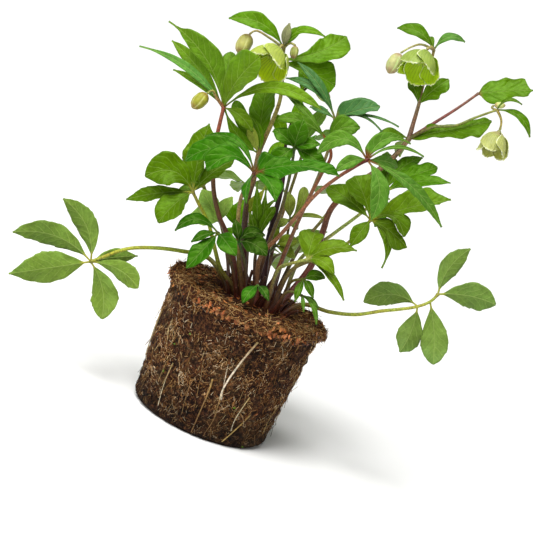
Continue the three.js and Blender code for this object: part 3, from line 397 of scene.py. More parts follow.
def leafMaterial(name, finish):
    # The UV map holds the place on the blade in units of 100 mm: across from the rib, and along it.
    material, tree = newMaterial(name)
    spots = objectPlace(tree)
    tint = surfaceValue(tree, "tint", "Color")
    under, edge = surfaceValue(tree, "under"), surfaceValue(tree, "edge")
    across, along = surfaceMap(tree)
    across, along = times(reckon("ABSOLUTE", across), 100.0), times(along, 100.0)

    spacing = bladeLook["veinSpacing"]
    wander = reckon("SUBTRACT", grain(spots, 70.0, 2.0), 0.5)
    reach = timesPlus(wander, bladeLook["veinWander"], timesPlus(across, -bladeLook["veinSlant"], along))
    gap = away(reckon("FRACT", reckon("DIVIDE", reach, spacing)), 0.5)
    fromVein = times(reckon("SUBTRACT", 0.5, gap), spacing)
    vein = times(ramp(fromVein, 0.0, bladeLook["veinWidth"], 1.0, 0.0), ramp(edge, 0.5, 0.98, 1.0, 0.3))
    rib = ramp(across, 0.12, 0.5, 1.0, 0.0)

    mottle = ramp(grain(spots, 60.0, 4.0), 0.3, 0.7, 0.88, 1.1)
    freckles = ramp(grain(spots, 420.0, 3.0, 0.7), 0.32, 0.62, 0.86, 1.08)
    cells = {"Vector": spots, "Scale": bladeLook["netScale"]}
    net = wire("ShaderNodeTexVoronoi", cells, out="Distance", feature="DISTANCE_TO_EDGE")
    net = ramp(net, 0.0, 0.12, bladeLook["netShade"], 1.0)
    warm = tinted(tint, 1 + finish["warmth"], 1.0, 1 - 2 * finish["warmth"])
    base = blend(ramp(grain(spots, 18.0, 2.0), 0.35, 0.65), tint, warm)
    base = shaded(base, times(times(mottle, freckles), net))
    light = blend(0.7, tone(bladeLook["veinColour"]), tinted(tint, 2.0, 1.6, 1.5))
    lines = reckon("MAXIMUM", times(rib, bladeLook["ribStrength"]), times(vein, bladeLook["veinStrength"]))
    base = blend(ramp(edge, 0.9, 1.0, 0.0, 0.22), blend(lines, base, light), light)

    quilt = times(ramp(fromVein, 0.0, spacing / 2), 0.25)
    sunk = reckon("SUBTRACT", quilt, reckon("MAXIMUM", rib, times(vein, 0.3)))
    height = times(sunk, ramp(under, 0.0, 1.0, 1.0, -1.0, smooth=False))
    height = timesPlus(grain(spots, 240.0), 0.35, height)
    height = timesPlus(grain(spots, 85.0, 2.0), 2.4, height)
    return dressed(material, {
        "Base Color": base,
        "Normal": relief(height, bladeLook["relief"] * mm, 0.8),
        "Roughness": timesPlus(under, 0.14, finish["roughness"]),
        "Specular IOR Level": bladeLook["gloss"],
        "Specular Tint": tone(finish["sheen"]),
    })


def stalkMaterial(name, ruddiness=0.1):
    material, tree = newMaterial(name)
    spots = objectPlace(tree)
    tint = surfaceValue(tree, "tint", "Color")
    flecks = ramp(grain(spots, 700.0, 3.0, 0.7), 0.34, 0.66, 0.55, 1.4)
    patches = ramp(grain(spots, 60.0, 2.0), 0.4, 0.62)
    ruddy = tinted(tint, 1 + ruddiness, 1 - ruddiness, 1 - ruddiness)
    dots = ramp(grain(spots, 900.0, 2.0), 0.56, 0.66, 0.0, min(1.0, 4 * ruddiness))
    base = blend(dots, blend(patches, tint, ruddy), tinted(tint, 1.0, 0.5, 0.45))
    return dressed(material, {
        "Base Color": shaded(base, flecks),
        "Normal": relief(grain(spots, 500.0, 2.0), 0.15 * mm, 0.6),
        "Roughness": 0.42,
        "Specular IOR Level": 0.3,
    })


leafMaterials = {slot: leafMaterial(slot, finish) for slot, finish in leafFinish.items()}
petioleMaterial = stalkMaterial("petiole")
stemMaterial = stalkMaterial("stem")

blade = {
    "thickness": 0.5,  # mm
    "rimThickness": 0.28,
    "rib": 0.5,  # how far the rib stands out below
    "ribWidth": 0.55,
    "leastHalfWidth": 0.75,
    "bareBase": 0.06,  # share of the rib below the blade
    "bareReach": 2.4,  # how far the stalk's colour runs up the blade, against the bare base
    "peak": 0.56,  # where it is widest
    "taper": 1.25,
    "arch": 4,  # mm
    "fold": 0.22,
    "brightness": (0.86, 1.14),  # from blade to blade
    "toothed": 1.0,  # against the tooth depth
    "toothPitch": 6.5,
    "toothDepth": 1.1,
    "firstTooth": (0.3, 0.45),  # share of the edge before it
    "toothSpread": (0.6, 1.5),  # against the pitch
    "toothSizes": (0.2, 1.0),  # against the depth
    "broadFrom": 9,  # narrower blades are hardly toothed
    "narrowToothed": 0.3,
    "fullWidth": 20,  # from which the teeth and the crinkle have their full depth
    "ripple": 0.1,  # against the half width
    "rippleLength": 15,
    "crinkle": 0.45,  # mm
    "stationLength": 1.3,
    "columnWidth": 3.4,
}
mapUnit = 100 * mm  # of a blade's UV map


def evenHalf(t, width, peak, taper):
    share = np.maximum(t - blade["bareBase"], 0) / (1 - blade["bareBase"])
    tipTaper = taper * (1 - peak) / peak
    return width / 2 * (share / peak) ** taper * ((1 - share) / (1 - peak)) ** tipTaper


def halfWidths(t, shape):
    # The blade's reach to the left and to the right of the rib, in mm.
    if "edges" not in shape:
        half = evenHalf(t, shape["width"], shape["peak"], shape["taper"])
        return half, half
    along, left, right = zip((0, 0, 0), *shape["edges"], (1, 0, 0))
    return easedCurve(t, along, left), easedCurve(t, along, right)


def toothedEdge(distance, length, depth, rng):
    # Uneven teeth that point forward, over the outer half of one edge.
    starts, sizes = [length * rng.uniform(*blade["firstTooth"])], []
    while starts[-1] < length:
        starts.append(starts[-1] + blade["toothPitch"] * rng.uniform(*blade["toothSpread"]))
        sizes.append(depth * rng.uniform(*blade["toothSizes"]))
    starts, sizes = np.array(starts), np.array(sizes)
    i = np.clip(np.searchsorted(starts, distance, side="right") - 1, 0, len(sizes) - 1)
    share = np.clip((distance - starts[i]) / (starts[i + 1] - starts[i]), 0, 1)
    inside = (distance > starts[0]) * np.clip((length - distance) / (0.08 * length), 0, 1)
    return sizes[i] * (share**1.5 - 0.3) * inside


def thinSkin(upper, lower, uv, edge, tints):
    # Both faces and the rim between two grids of points that follow each other.
    rows, columns = upper.shape[:2]
    count = rows * columns
    index = np.arange(count).reshape(rows, columns)
    corners = index[:-1, :-1], index[:-1, 1:], index[1:, 1:], index[1:, :-1]
    loop = np.concatenate([index[0, :-1], index[:-1, -1], index[-1, :0:-1], index[:0:-1, 0]])
    rim = np.stack([loop, loop + count, np.roll(loop, -1) + count, np.roll(loop, -1)], -1)
    faces = [np.stack(corners, -1).reshape(-1, 4), np.stack(corners[::-1], -1).reshape(-1, 4) + count, rim]
    uv = np.stack([np.broadcast_to(part, (rows, columns)) for part in uv], -1).reshape(count, 2)
    edge = np.broadcast_to(edge, (rows, columns)).reshape(count)
    return {
        "points": np.concatenate([upper.reshape(count, 3), lower.reshape(count, 3)]),
        "faces": np.concatenate(faces),
        "uv": np.concatenate([uv, uv]),
        "edge": np.concatenate([edge, edge]),
        "under": np.repeat([0.0, 1.0], count),
        "tint": np.concatenate([np.broadcast_to(tint, (rows, columns, 4)).reshape(count, 4) for tint in tints]),
    }


def bladeGrid(base, shape, face, seed):
    shape = {**blade, **shape}
    upper, under, stalk = (tone(shape[key]) for key in ("upper", "under", "base"))
    rng = random.Random(seed)
    tip = place(shape["tip"])
    length = np.linalg.norm(tip - base)
    forward = (tip - base) / length
    flat = unit(face - forward * (face @ forward))
    roll = Matrix.Rotation(math.radians(shape.get("roll", 0)), 3, Vector(forward))
    flat = np.array(roll @ Vector(flat))
    rightward = unit(np.cross(forward, sheetFront))
    control = (base + tip) / 2 + (rightward * 2 * shape.get("bow", 0) + flat * 2 * shape["arch"]) * mm

    rows = int(np.clip(length / (blade["stationLength"] * mm), 14, 64))
    t = np.linspace(0, 1, rows)
    left, right = halfWidths(t, shape)
    widest = (left + right).max()
    fullness = min(widest / blade["fullWidth"], 1)
    columns = 2 * int(np.clip(widest / blade["columnWidth"], 2, 6)) + 1
    depth = shape["toothed"] * blade["toothDepth"] * fullness
    if widest < blade["broadFrom"]:
        depth = depth * blade["narrowToothed"]
    teeth = [toothedEdge(t * length / mm, length / mm, depth, rng)[:, None] for _ in range(2)]
    phase = roughTurn * rng.random()
    brightness = rng.uniform(*blade["brightness"])

    t = t[:, None]
    a = np.linspace(-1, 1, columns)[None, :]
    a = np.sign(a) * np.abs(a) ** 0.85
    out = np.abs(a)
    rib = (1 - t) ** 2 * base + 2 * t * (1 - t) * control + t**2 * tip
    tangent = unit(2 * (1 - t) * (control - base) + 2 * t * (tip - control))
    normal = unit(flat - tangent * (tangent @ flat)[:, None])
    side = np.cross(tangent, normal)
    half = np.where(a < 0, left[:, None], right[:, None])
    half = np.maximum(half, blade["leastHalfWidth"]) * mm
    reach = a * half + np.sign(a) * np.where(a < 0, *teeth) * out**5 * mm

    along = t * length
    turn = 2 * math.pi * along / (blade["rippleLength"] * mm) + phase * np.sign(a)
    wave = 0.08 * np.sin(9 * t + 2 * a) + blade["ripple"] * out**2.5 * np.sin(turn)
    crinkle = np.sin(along / (1.6 * mm) + 2.1 * a + phase) + np.sin(along / (2.7 * mm) - 3.3 * a)
    lift = out * half * (shape["fold"] + wave) + 0.5 * blade["crinkle"] * mm * fullness * out**0.7 * crinkle
    middle = rib[:, None] + side[:, None] * reach[..., None] + normal[:, None] * lift[..., None]
    thick = blade["rimThickness"] + (blade["thickness"] - blade["rimThickness"]) * (1 - out**2)
    thick = np.broadcast_to(thick / 2, reach.shape) * mm
    rise = np.exp(-((reach / (blade["ribWidth"] * mm)) ** 2)) * (1 - t) ** 0.6 * blade["rib"] * mm
    bare = np.clip(shape["bareReach"] - t / blade["bareBase"], 0, 1)[..., None]
    brightness = np.array([brightness, brightness, brightness, 1])
    return thinSkin(
        middle + normal[:, None] * (thick - 0.12 * rise)[..., None],
        middle - normal[:, None] * (thick + rise)[..., None],
        (reach / mapUnit, along / mapUnit),
        out,
        [colour * brightness * (1 - bare) + stalk * bare for colour in (upper, under)],
    )


def bladeObject(name, grids, material):
    joined = {key: np.concatenate([grid[key] for grid in grids]) for key in grids[0]}
    offsets = np.cumsum([0] + [len(grid["points"]) for grid in grids[:-1]])
    faces = np.concatenate([grid["faces"] + offset for grid, offset in zip(grids, offsets)])
    more = {"uv": joined["uv"], "tint": joined["tint"]}
    more["floats"] = {key: joined[key] for key in ("edge", "under")}
    return smoothFaces(meshObject(name, joined["points"], faces, [material], **more))


rooting = {
    "depth": 8,  # mm
    "collar": 5,
    "leastRise": 1.2,
    "flareReach": 14,  # mm along the stalk
    "footColour": "#42100b",
    "footReach": 34,
}


def rootedPath(root, via):
    top = np.array([*root, ballHeight]) * mm
    toward = unit(place(via[0]) - top)
    toward[2] = max(toward[2], rooting["leastRise"])
    toward = unit(toward)
    feet = [top - toward * rooting["depth"] * mm, top + toward * rooting["collar"] * mm]
    return feet + [place(spot) for spot in via]


def stalkLine(points, radii, colours, hub=0.0, flare=0.0, foot=0.0):
    # hub: swelling at the upper end; flare: widening at the foot, both against the radius;
    # foot: how far the foot is darkened.
    path, passed = smoothPath(points)
    share = passed / (len(points) - 1)
    distance = np.concatenate([[0], np.cumsum(np.linalg.norm(np.diff(path, axis=0), axis=1))])
    girth = (radii[0] + (radii[1] - radii[0]) * share) * mm
    girth = girth * (1 + flare * np.exp(-distance / (rooting["flareReach"] * mm)))
    girth = girth * (1 + hub * np.exp(-(((distance[-1] - distance) / (1.6 * mm)) ** 2)))
    stops = np.array([tone(code) for code in colours])
    where = np.linspace(0, 1, len(stops))
    tints = np.stack([np.interp(share, where, channel) for channel in stops.T], -1)
    dark = foot * np.exp(-((distance / (rooting["footReach"] * mm)) ** 2))[:, None]
    tints = tints * (1 - dark) + tone(rooting["footColour"]) * dark
    if hub > 0:
        cap = path[-1] + unit(path[-1] - path[-2]) * girth[-1] * 0.8
        path = np.concatenate([path, [cap]])
        girth = np.append(girth, girth[-1] * 0.45)
        tints[-2:] *= 0.8
        tints = np.concatenate([tints, tints[-1:] * 0.9])
    return path, girth, tints


def leaflet(across, upward, forward, **shape):
    # A blade that ends at this place on the sheet. It has a width or, at places along the rib, its
    # reach to the left and right.
    return {"tip": (across, upward, forward), **shape}


# Colours of the blades' upper and under side, radii of the stalk at both ends, its foot on the
# ball's top, the way the blades face, the stalk's colours upward and the places it passes.
leaves = {
    "leaf_far_left": {
        "slot": "leaf_pale", "upper": "#3b660e", "under": "#5f7c2e", "radii": (2, 1.2), "root": (-20, -8),
        "face": (0.1, 0.3, -1), "stalk": ("#4a1c16", "#74861a", "#92a428", "#8a8a2c"),
        "via": [
            (-33, 31, 2), (-56, 37, 6), (-81, 39.5, 8), (-99, 38.4, 10), (-119, 31.5, 11), (-127.4, 28.3, 12),
        ],
        "leaflets": [
            leaflet(-149.6, 78.8, 6, width=18.5, bow=7), leaflet(-189.9, 51.8, 12, width=20, bow=8),
            leaflet(-193.1, 18.6, 18, width=26, peak=0.5, bow=-1),
            leaflet(-118.7, -17.6, 22, width=22, peak=0.6, bow=-4),
            leaflet(-89.6, 7.2, 20, width=17, peak=0.64, bow=-4), leaflet(-89.8, 32.8, -2, width=14, peak=0.5),
        ],
    },
    "leaf_left": {
        "slot": "leaf_green", "upper": "#3e6003", "under": "#5e740f", "radii": (2, 1.2), "root": (-13, -12),
        "face": (-0.3, 0.5, 1), "stalk": ("#4a3a10", "#6c7c14", "#8a9a20", "#7c8430"),
        "via": [(-23.4, 21.9, 12), (-28.5, 40.2, 15), (-33.6, 60, 18), (-40.8, 73.9, 20), (-45.8, 84.2, 22)],
        "leaflets": [
            leaflet(-84, 96.4, 28, width=28, peak=0.6, bow=9), leaflet(-99, 78, 14, width=13),
            leaflet(-73.4, 59.2, 38, width=23, peak=0.6),
            leaflet(-32.6, 138.7, 22, edges=[
                (0.14, 2.5, 1.5), (0.3, 9.5, 4.5), (0.48, 12.6, 6.5), (0.64, 12, 8.5), (0.82, 8, 8),
            ]),
            leaflet(-13, 110, 12, width=15, peak=0.6),
        ],
    },
    "leaf_centre": {
        "slot": "leaf_green", "upper": "#225903", "under": "#476917", "radii": (2.2, 1.3), "root": (-6, -17),
        "face": (0, 0.6, 1), "stalk": ("#4a1c16", "#665e20", "#80703a", "#54301e"),
        "via": [(-9.6, 38.4, 25), (-9.6, 59.2, 36), (-7, 80, 45), (3.4, 98.8, 52)],
        "leaflets": [
            leaflet(-34.5, 101, 62, bow=10, edges=[
                (0.2, 3, 2.6), (0.45, 4.5, 7), (0.72, 5.2, 10.8), (0.88, 4.2, 9.6),
            ]),
            leaflet(-52, 109, 46, width=20, peak=0.62, bow=12), leaflet(-36, 128.8, 34, width=7, bow=10),
            leaflet(71.5, 96.5, 62, bow=-3.5, arch=6, edges=[
                (0.14, 2, 6), (0.34, 2.4, 12), (0.55, 5, 6.5), (0.72, 6.8, 3), (0.88, 6.5, 2),
            ]),
            leaflet(20.3, 76, 70, bow=-4, edges=[(0.2, 4, 4), (0.44, 8, 5), (0.7, 9, 4), (0.86, 4.5, 2.4)]),
            leaflet(38, 104.5, 50, edges=[(0.18, 11.5, 2), (0.3, 13, 3), (0.52, 9.3, 4), (0.76, 7.2, 3)]),
            leaflet(-2.6, 75, 66, width=8, roll=40),
        ],
    },
    "leaf_right_middle": {
        "slot": "leaf_green", "upper": "#467123", "under": "#697c49", "radii": (2, 1.3), "root": (6, -16),
        "face": (0.2, 0.4, 1), "stalk": ("#4a1c16", "#7a5a34", "#8a6040", "#8c5c3c", "#5c2018"),
        "via": [
            (8, 31.2, 14), (23.2, 48.4, 24), (38.4, 65.6, 33), (52.8, 82.1, 40), (71.2, 96.4, 45),
            (93.6, 109.6, 48),
        ],
        "leaflets": [
            leaflet(96.8, 61.6, 62, width=15, bow=-7), leaflet(153.2, 55.7, 54, width=10, bow=-6),
            leaflet(139, 112, 48, width=3.4, bow=-7),
            leaflet(128.5, 122.5, 36, bow=-9, edges=[
                (0.15, 6, 2), (0.35, 6.5, 5.5), (0.6, 4.5, 4), (0.82, 1.6, 1.6),
            ]),
            leaflet(53.9, 114.7, 48, width=13, peak=0.6, bow=12), leaflet(68, 100, 60, width=10, bow=2),
            leaflet(118, 104, 30, width=11),
        ],
    },
    "leaf_upper_right": {
        "slot": "leaf_green", "upper": "#395f11", "under": "#59722a", "radii": (1.8, 1.2), "root": (12, -6),
        "face": (0, 0.5, 1), "stalk": ("#4a1c16", "#86603a", "#74301c"),
        "via": [
            (30.4, 41.6, 8), (41.4, 66.8, 16), (48.8, 82.4, 22), (57, 98, 27), (64.8, 113, 30),
            (61.6, 124.8, 31),
        ],
        "leaflets": [
            leaflet(88, 135, 36, width=20, bow=-3), leaflet(29.6, 161, 16, width=6, bow=1),
            leaflet(22.7, 143, 36, width=10, peak=0.72, bow=4),
        ],
    },
    "leaf_rosette": {
        "slot": "leaf_dark", "upper": "#2c5a03", "under": "#5c7a0c", "radii": (1.8, 1.1), "root": (2, -7),
        "face": (0, 0.4, 1), "stalk": ("#4a1c16", "#5a4a20", "#3a5a0c"),
        "via": [(14, 40, 8), (25, 70, 14), (32, 98, 22), (35.6, 119.2, 32)],
        "leaflets": [
            leaflet(43, 142, 44, width=17), leaflet(17, 104, 40, width=16), leaflet(56, 122, 42, width=11),
            leaflet(60, 104, 40, width=15), leaflet(19, 134, 32, width=13),
        ],
    },
    "leaf_right_behind": {
        "slot": "leaf_green", "upper": "#3f6c03", "under": "#5e810d", "radii": (1.8, 1.2), "root": (26, 8),
        "face": (0.2, 0.6, 0.8), "stalk": ("#4a1c16", "#8ea050", "#7c8e3a"),
        "via": [(40, 30, -14), (66, 50, -14), (90, 68, -12), (108, 84, -10)],
        "leaflets": [
            leaflet(138, 111.2, -26, width=13, bow=-4),
            leaflet(150, 103.5, -14, edges=[(0.35, 5, 4), (0.6, 8, 6), (0.82, 7.5, 6), (0.94, 4.5, 4)]),
            leaflet(160.5, 91, 0, width=13, taper=1.6, bow=-2), leaflet(110, 116, -34, width=16),
            leaflet(100, 56, 0, width=14),
        ],
    },
    "leaf_right": {
        "slot": "leaf_green", "upper": "#4c6d0c", "under": "#758d49", "radii": (1.9, 1.2), "root": (19, -10),
        "face": (0.1, 0.6, 1), "stalk": ("#4a1c16", "#6f6a2c", "#7c8628"),
        "via": [(34, 22, 6), (63.5, 34, 14), (80.4, 45, 20), (96.6, 61.6, 24)],
        "leaflets": [
            leaflet(160.8, 77.6, 30, edges=[
                (0.2, 6, 1.5), (0.44, 12.5, 5), (0.65, 13.5, 7.2), (0.79, 12, 3), (0.86, 7.5, 2),
            ]),
            leaflet(123.3, 48, 34, bow=-8, edges=[(0.3, 2, 2), (0.55, 5, 3.5), (0.75, 9.5, 4), (0.9, 6, 3)]),
            leaflet(125.5, 39.5, 30, edges=[
                (0.22, 7, 2), (0.42, 7.5, 2.5), (0.56, 5.5, 7.5), (0.72, 3.5, 13), (0.9, 2, 8),
            ]),
            leaflet(105.3, 23, 32, width=8, peak=0.4, bow=-8),
            leaflet(84, 97, 20, edges=[(0.28, 2, 3), (0.45, 7.5, 6), (0.7, 10.8, 10), (0.88, 11, 11.5)]),
            leaflet(62, 88, 8, width=20, peak=0.64), leaflet(80.5, 40.5, 34, width=13),
        ],
    },
    "leaf_blue": {
        "slot": "leaf_blue", "upper": "#3a672f", "under": "#597841", "radii": (1.8, 1.2), "root": (14, 6),
        "face": (0, 0.4, 1), "stalk": ("#4a1c16", "#7b7a50", "#6a6a34"),
        "via": [(34, 50, -16), (52, 90, -10), (64, 122, 0), (68, 142.4, 6)],
        "leaflets": [
            leaflet(104, 152.4, 12, edges=[
                (0.15, 7.5, 1.2), (0.3, 10, 1.5), (0.56, 9.6, 5), (0.78, 8.2, 4), (0.92, 3.5, 4.2),
            ]),
            leaflet(29, 175, 1, width=8, bow=7), leaflet(38, 188, 3, width=8, bow=3),
            leaflet(84, 133, 10, width=11), leaflet(105.5, 132, 12, width=2.4, bow=-6),
            leaflet(119, 136, 10, width=2.6, bow=-4), leaflet(48, 152, 2, width=6),
        ],
    },
    "leaf_low_right": {
        "slot": "leaf_green", "upper": "#52710d", "under": "#728635", "radii": (1.6, 1.1), "root": (15, -21),
        "face": (0, 0.6, 0.8), "stalk": ("#4a1c16", "#848a44", "#8c9648"),
        "via": [(23, 22.4, 30), (34.4, 27.2, 42), (45.9, 30, 50)],
        "leaflets": [
            leaflet(52, 51.5, 38, arch=3, edges=[(0.25, 6, 4), (0.55, 10.5, 6), (0.8, 11.5, 8), (0.93, 9, 7)]),
            leaflet(85.5, 37, 52, width=15, peak=0.5, bow=-3), leaflet(67.2, 18.4, 62, width=12, bow=-2),
            leaflet(75, -2.9, 58, width=6.6, bow=-3),
        ],
    },
    "leaf_small_right": {
        "slot": "leaf_dark", "upper": "#305405", "under": "#5c7023", "radii": (1.4, 1), "root": (24, -16),
        "face": (0, 0.6, 0.8), "stalk": ("#4a1c16", "#4a4420", "#5c6a1c"), "via": [(33, 12, 30), (43, 14, 38)],
        "leaflets": [
            leaflet(60, 15, 44, width=11), leaflet(50.4, -1, 50, width=7), leaflet(36, -4, 52, width=6),
        ],
    },
    "leaf_thread": {
        "slot": "leaf_dark", "upper": "#3a6017", "under": "#5d7639", "radii": (1.2, 0.9), "root": (21, -24),
        "face": (0, 0.6, 0.8), "stalk": ("#4a1c16", "#5a4a2c", "#6f8040"), "via": [(30, 4, 34), (41.4, 1, 42)],
        "leaflets": [
            leaflet(43, -12, 52, width=3.2), leaflet(55, -9, 48, width=3.6),
            leaflet(53, -22, 52, width=4.4, bow=-3),
        ],
    },
    "leaf_front_base": {
        "slot": "leaf_green", "upper": "#245c0a", "under": "#5c8c30", "radii": (1.4, 1), "root": (3, -28),
        "face": (0, 0.6, 0.8), "stalk": ("#4a1c16", "#4c6a24", "#4c8a1c"), "via": [(4, 4, 32), (6, 9, 38)],
        "leaflets": [
            leaflet(-6, -5, 50, width=10), leaflet(15, -3, 50, width=7, upper="#1c4408"),
        ],
    },
    "leaf_far_right": {
        "slot": "leaf_pale", "upper": "#396210", "under": "#587532", "radii": (1.8, 1.1), "root": (30, -9),
        "face": (0.1, 0.3, -1), "stalk": ("#4a1c16", "#77821c", "#94a234", "#8c9438"),
        "via": [
            (43, -6, 6), (64, -12, 12), (84.7, -14, 14), (105.4, -11.2, 15), (120, -9.8, 16), (134, -7.6, 16),
            (144, -3.8, 16), (150.4, 2.1, 16),
        ],
        "leaflets": [
            leaflet(176.4, 38.6, 10, width=16, bow=-4), leaflet(196.6, -6.2, 18, width=22, peak=0.6, bow=-2),
            leaflet(146.3, -53.9, 28, width=22, peak=0.6, bow=-2, start=(144, -3.8, 16)),
            leaflet(119.9, -44, 26, width=20, peak=0.56, bow=-3, start=(134, -7.6, 16)),
            leaflet(91, -4.2, 4, width=20, peak=0.6, bow=7, start=(134, -7.6, 16)),
        ],
    },
    "leaf_low_left": {
        "slot": "leaf_dark", "upper": "#245503", "under": "#4c6d0e", "radii": (1.6, 1.1), "root": (-10, -21),
        "face": (-0.2, 0.5, 1), "stalk": ("#4a1c16", "#403410", "#54641c"),
        "via": [(-16, 30, 30), (-25.6, 51.2, 36)],
        "leaflets": [
            leaflet(-51, 23, 50, width=16, bow=-2), leaflet(-11, 33, 54, width=15),
            leaflet(-60, 53, 36, width=10, bow=8), leaflet(-47, 44, 42, width=8),
        ],
    },
    "leaf_pale_left": {
        "slot": "leaf_pale", "upper": "#90b850", "under": "#b9da80", "radii": (1.5, 1), "root": (-20, 4),
        "face": (-0.3, 0.4, 1), "stalk": ("#4a1c16", "#4a4222", "#6c7a2a"),
        "via": [(-18, 30, -12), (-22, 52, -8), (-24, 60, -5)],
        "leaflets": [
            leaflet(-48, 66, 0, width=17), leaflet(-38, 86, -10, width=16), leaflet(-14, 80, -4, width=12),
        ],
    },
    "leaf_centre_dark": {
        "slot": "leaf_dark", "upper": "#1f3f03", "under": "#575d0e", "radii": (1.6, 1.1), "root": (-3, -22),
        "face": (0, 0.5, 1), "stalk": ("#4a1c16", "#3c3a14", "#2c5a0c"),
        "via": [(-4, 26, 33), (-7, 38, 38), (-9, 44, 40)],
        "leaflets": [
            leaflet(13.5, 33, 52, width=17, bow=-2), leaflet(12, 49, 44, width=10, bow=-3),
            leaflet(-12, 62, 44, width=8),
        ],
    },
    "leaf_inner": {
        "slot": "leaf_dark", "upper": "#406207", "under": "#6b7e2a", "radii": (1.7, 1.1), "root": (3, -1),
        "face": (0, 0.2, 1), "stalk": ("#4a1c16", "#3c3418", "#466018"),
        "via": [(4, 30, -2), (5, 37, -1), (6, 43, 0)],
        "leaflets": [
            leaflet(5.5, 92, 3, width=8, peak=0.45), leaflet(13, 88, 2, width=8, peak=0.4, bow=1),
            leaflet(20, 72, 5, width=8, peak=0.7, bow=-2), leaflet(22, 79, 1, width=4.5, bow=-6),
            leaflet(0, 68, 6, width=6),
        ],
    },
    "leaf_between": {
        "slot": "leaf_green", "upper": "#74863c", "under": "#a0b558", "radii": (1.5, 1), "root": (17, 12),
        "face": (0, 0.3, 1), "stalk": ("#4a1c16", "#4c3a1c", "#5c6420"),
        "via": [(27, 34, -26), (31, 56, -28), (32, 62, -28)],
        "leaflets": [
            leaflet(31, 84, -28, width=10), leaflet(43, 88, -30, width=9, peak=0.7, bow=4),
            leaflet(60, 62.5, -24, width=4, bow=-2), leaflet(38, 54, -24, width=7),
            leaflet(22, 56, -26, width=7),
        ],
    },
    "leaf_low_behind": {
        "slot": "leaf_dark", "upper": "#6c7c24", "under": "#94ac55", "radii": (1.5, 1), "root": (0, 9),
        "face": (0, 0.4, 1), "stalk": ("#4a1c16", "#3c3014", "#48541c"), "via": [(10, 28, -20), (20, 41, -26)],
        "leaflets": [
            leaflet(38, 45, -28, width=12), leaflet(36, 31, -28, width=9), leaflet(4, 40, -28, width=10),
            leaflet(18, 58, -32, width=10),
        ],
    },
    "leaf_left_inner": {
        "slot": "leaf_green", "upper": "#5a9605", "under": "#a0cd1e", "radii": (1.5, 1), "root": (-2, 15),
        "face": (0, 0.3, 1), "stalk": ("#4a1c16", "#4c3a1c", "#5c6420"),
        "via": [(-8, 34, -27), (-11, 50, -28), (-12, 56, -28)],
        "leaflets": [
            leaflet(-19, 77, -28, width=10), leaflet(-5, 78, -30, width=12), leaflet(-1, 58, -28, width=8),
            leaflet(-20, 47, -26, width=7),
        ],
    },
    "leaf_left_behind": {
        "slot": "leaf_dark", "upper": "#385603", "under": "#52681c", "radii": (1.6, 1.1), "root": (-15, 10),
        "face": (-0.3, 0.5, 1), "stalk": ("#4a1c16", "#5c5a20", "#6c7c20"),
        "via": [(-14, 40, -22), (-26, 66, -18), (-37, 88, -14)],
        "leaflets": [
            leaflet(-58, 98, -20, width=14), leaflet(-22, 106, -20, width=15),
            leaflet(-44, 114, -34, width=13), leaflet(-60, 80, -8, width=10),
        ],
    },
    "leaf_back_low": {
        "slot": "leaf_green", "upper": "#42740e", "under": "#6c8c38", "radii": (1.7, 1.2), "root": (4, 26),
        "face": (0, 0.8, -0.6), "stalk": ("#4a1c16", "#4c4a1c", "#6c7a28"),
        "via": [(18, 30, -50), (24, 34, -70), (26, 34, -84)],
        "leaflets": [
            leaflet(-10, 44, -112, width=18), leaflet(22, 20, -134, width=20), leaflet(58, 36, -116, width=18),
            leaflet(62, 52, -82, width=15),
        ],
    },
    "leaf_back_left": {
        "slot": "leaf_green", "upper": "#42740e", "under": "#6c8c38", "radii": (1.8, 1.2), "root": (-8, 22),
        "face": (-0.2, 0.8, -0.6), "stalk": ("#4a1c16", "#5c4a2c", "#6f7a2c"),
        "via": [(-2, 40, -46), (0, 70, -64), (-2, 90, -72)],
        "leaflets": [
            leaflet(-34, 96, -94, width=17), leaflet(-10, 84, -122, width=19), leaflet(28, 84, -110, width=17),
            leaflet(26, 112, -78, width=15),
        ],
    },
    "leaf_back_right": {
        "slot": "leaf_green", "upper": "#42740e", "under": "#6c8c38", "radii": (1.8, 1.2), "root": (18, 20),
        "face": (0.2, 0.8, -0.6), "stalk": ("#4a1c16", "#5c5420", "#6c7a28"),
        "via": [(40, 40, -48), (58, 62, -60), (68, 76, -66)],
        "leaflets": [
            leaflet(52, 84, -106, width=17), leaflet(84, 72, -116, width=19), leaflet(112, 78, -86, width=17),
            leaflet(98, 94, -58, width=15),
        ],
    },
    "leaf_back_high": {
        "slot": "leaf_green", "upper": "#3c800a", "under": "#5c8c2c", "radii": (1.8, 1.2), "root": (8, 16),
        "face": (0, 0.8, -0.5), "stalk": ("#4a1c16", "#6a5a38", "#74803a"),
        "via": [(24, 60, -42), (36, 96, -46), (44, 122, -48)],
        "leaflets": [
            leaflet(18, 132, -76, width=16), leaflet(46, 124, -100, width=18), leaflet(76, 128, -76, width=16),
            leaflet(62, 150, -44, width=14),
        ],
    },
}


leafStalk = {"hub": 0.5, "flare": 0.6, "foot": 0.85}


def makeLeaf(name, leaf):
    grids = []
    for i, shape in enumerate(leaf["leaflets"]):
        shape = {"upper": leaf["upper"], "under": leaf["under"], "base": leaf["stalk"][-1], **shape}
        base = place(shape.get("start", leaf["via"][-1]))
        grids.append(bladeGrid(base, shape, heading(leaf["face"]), f"{name}{i}"))
    path = rootedPath(leaf["root"], leaf["via"])
    stalk = stalkLine(path, leaf["radii"], leaf["stalk"], **leafStalk)
    pieces = [
        bladeObject(name + "Blades", grids, leafMaterials[leaf["slot"]]),
        sweep(name + "Stalk", [stalk], petioleMaterial),
    ]
    return settle(fused(name + "Fine", pieces), leaf["slot"], name)


for name, leaf in leaves.items():
    makeLeaf(name, leaf)
print("leaves", len(leaves))


# Flowering stems

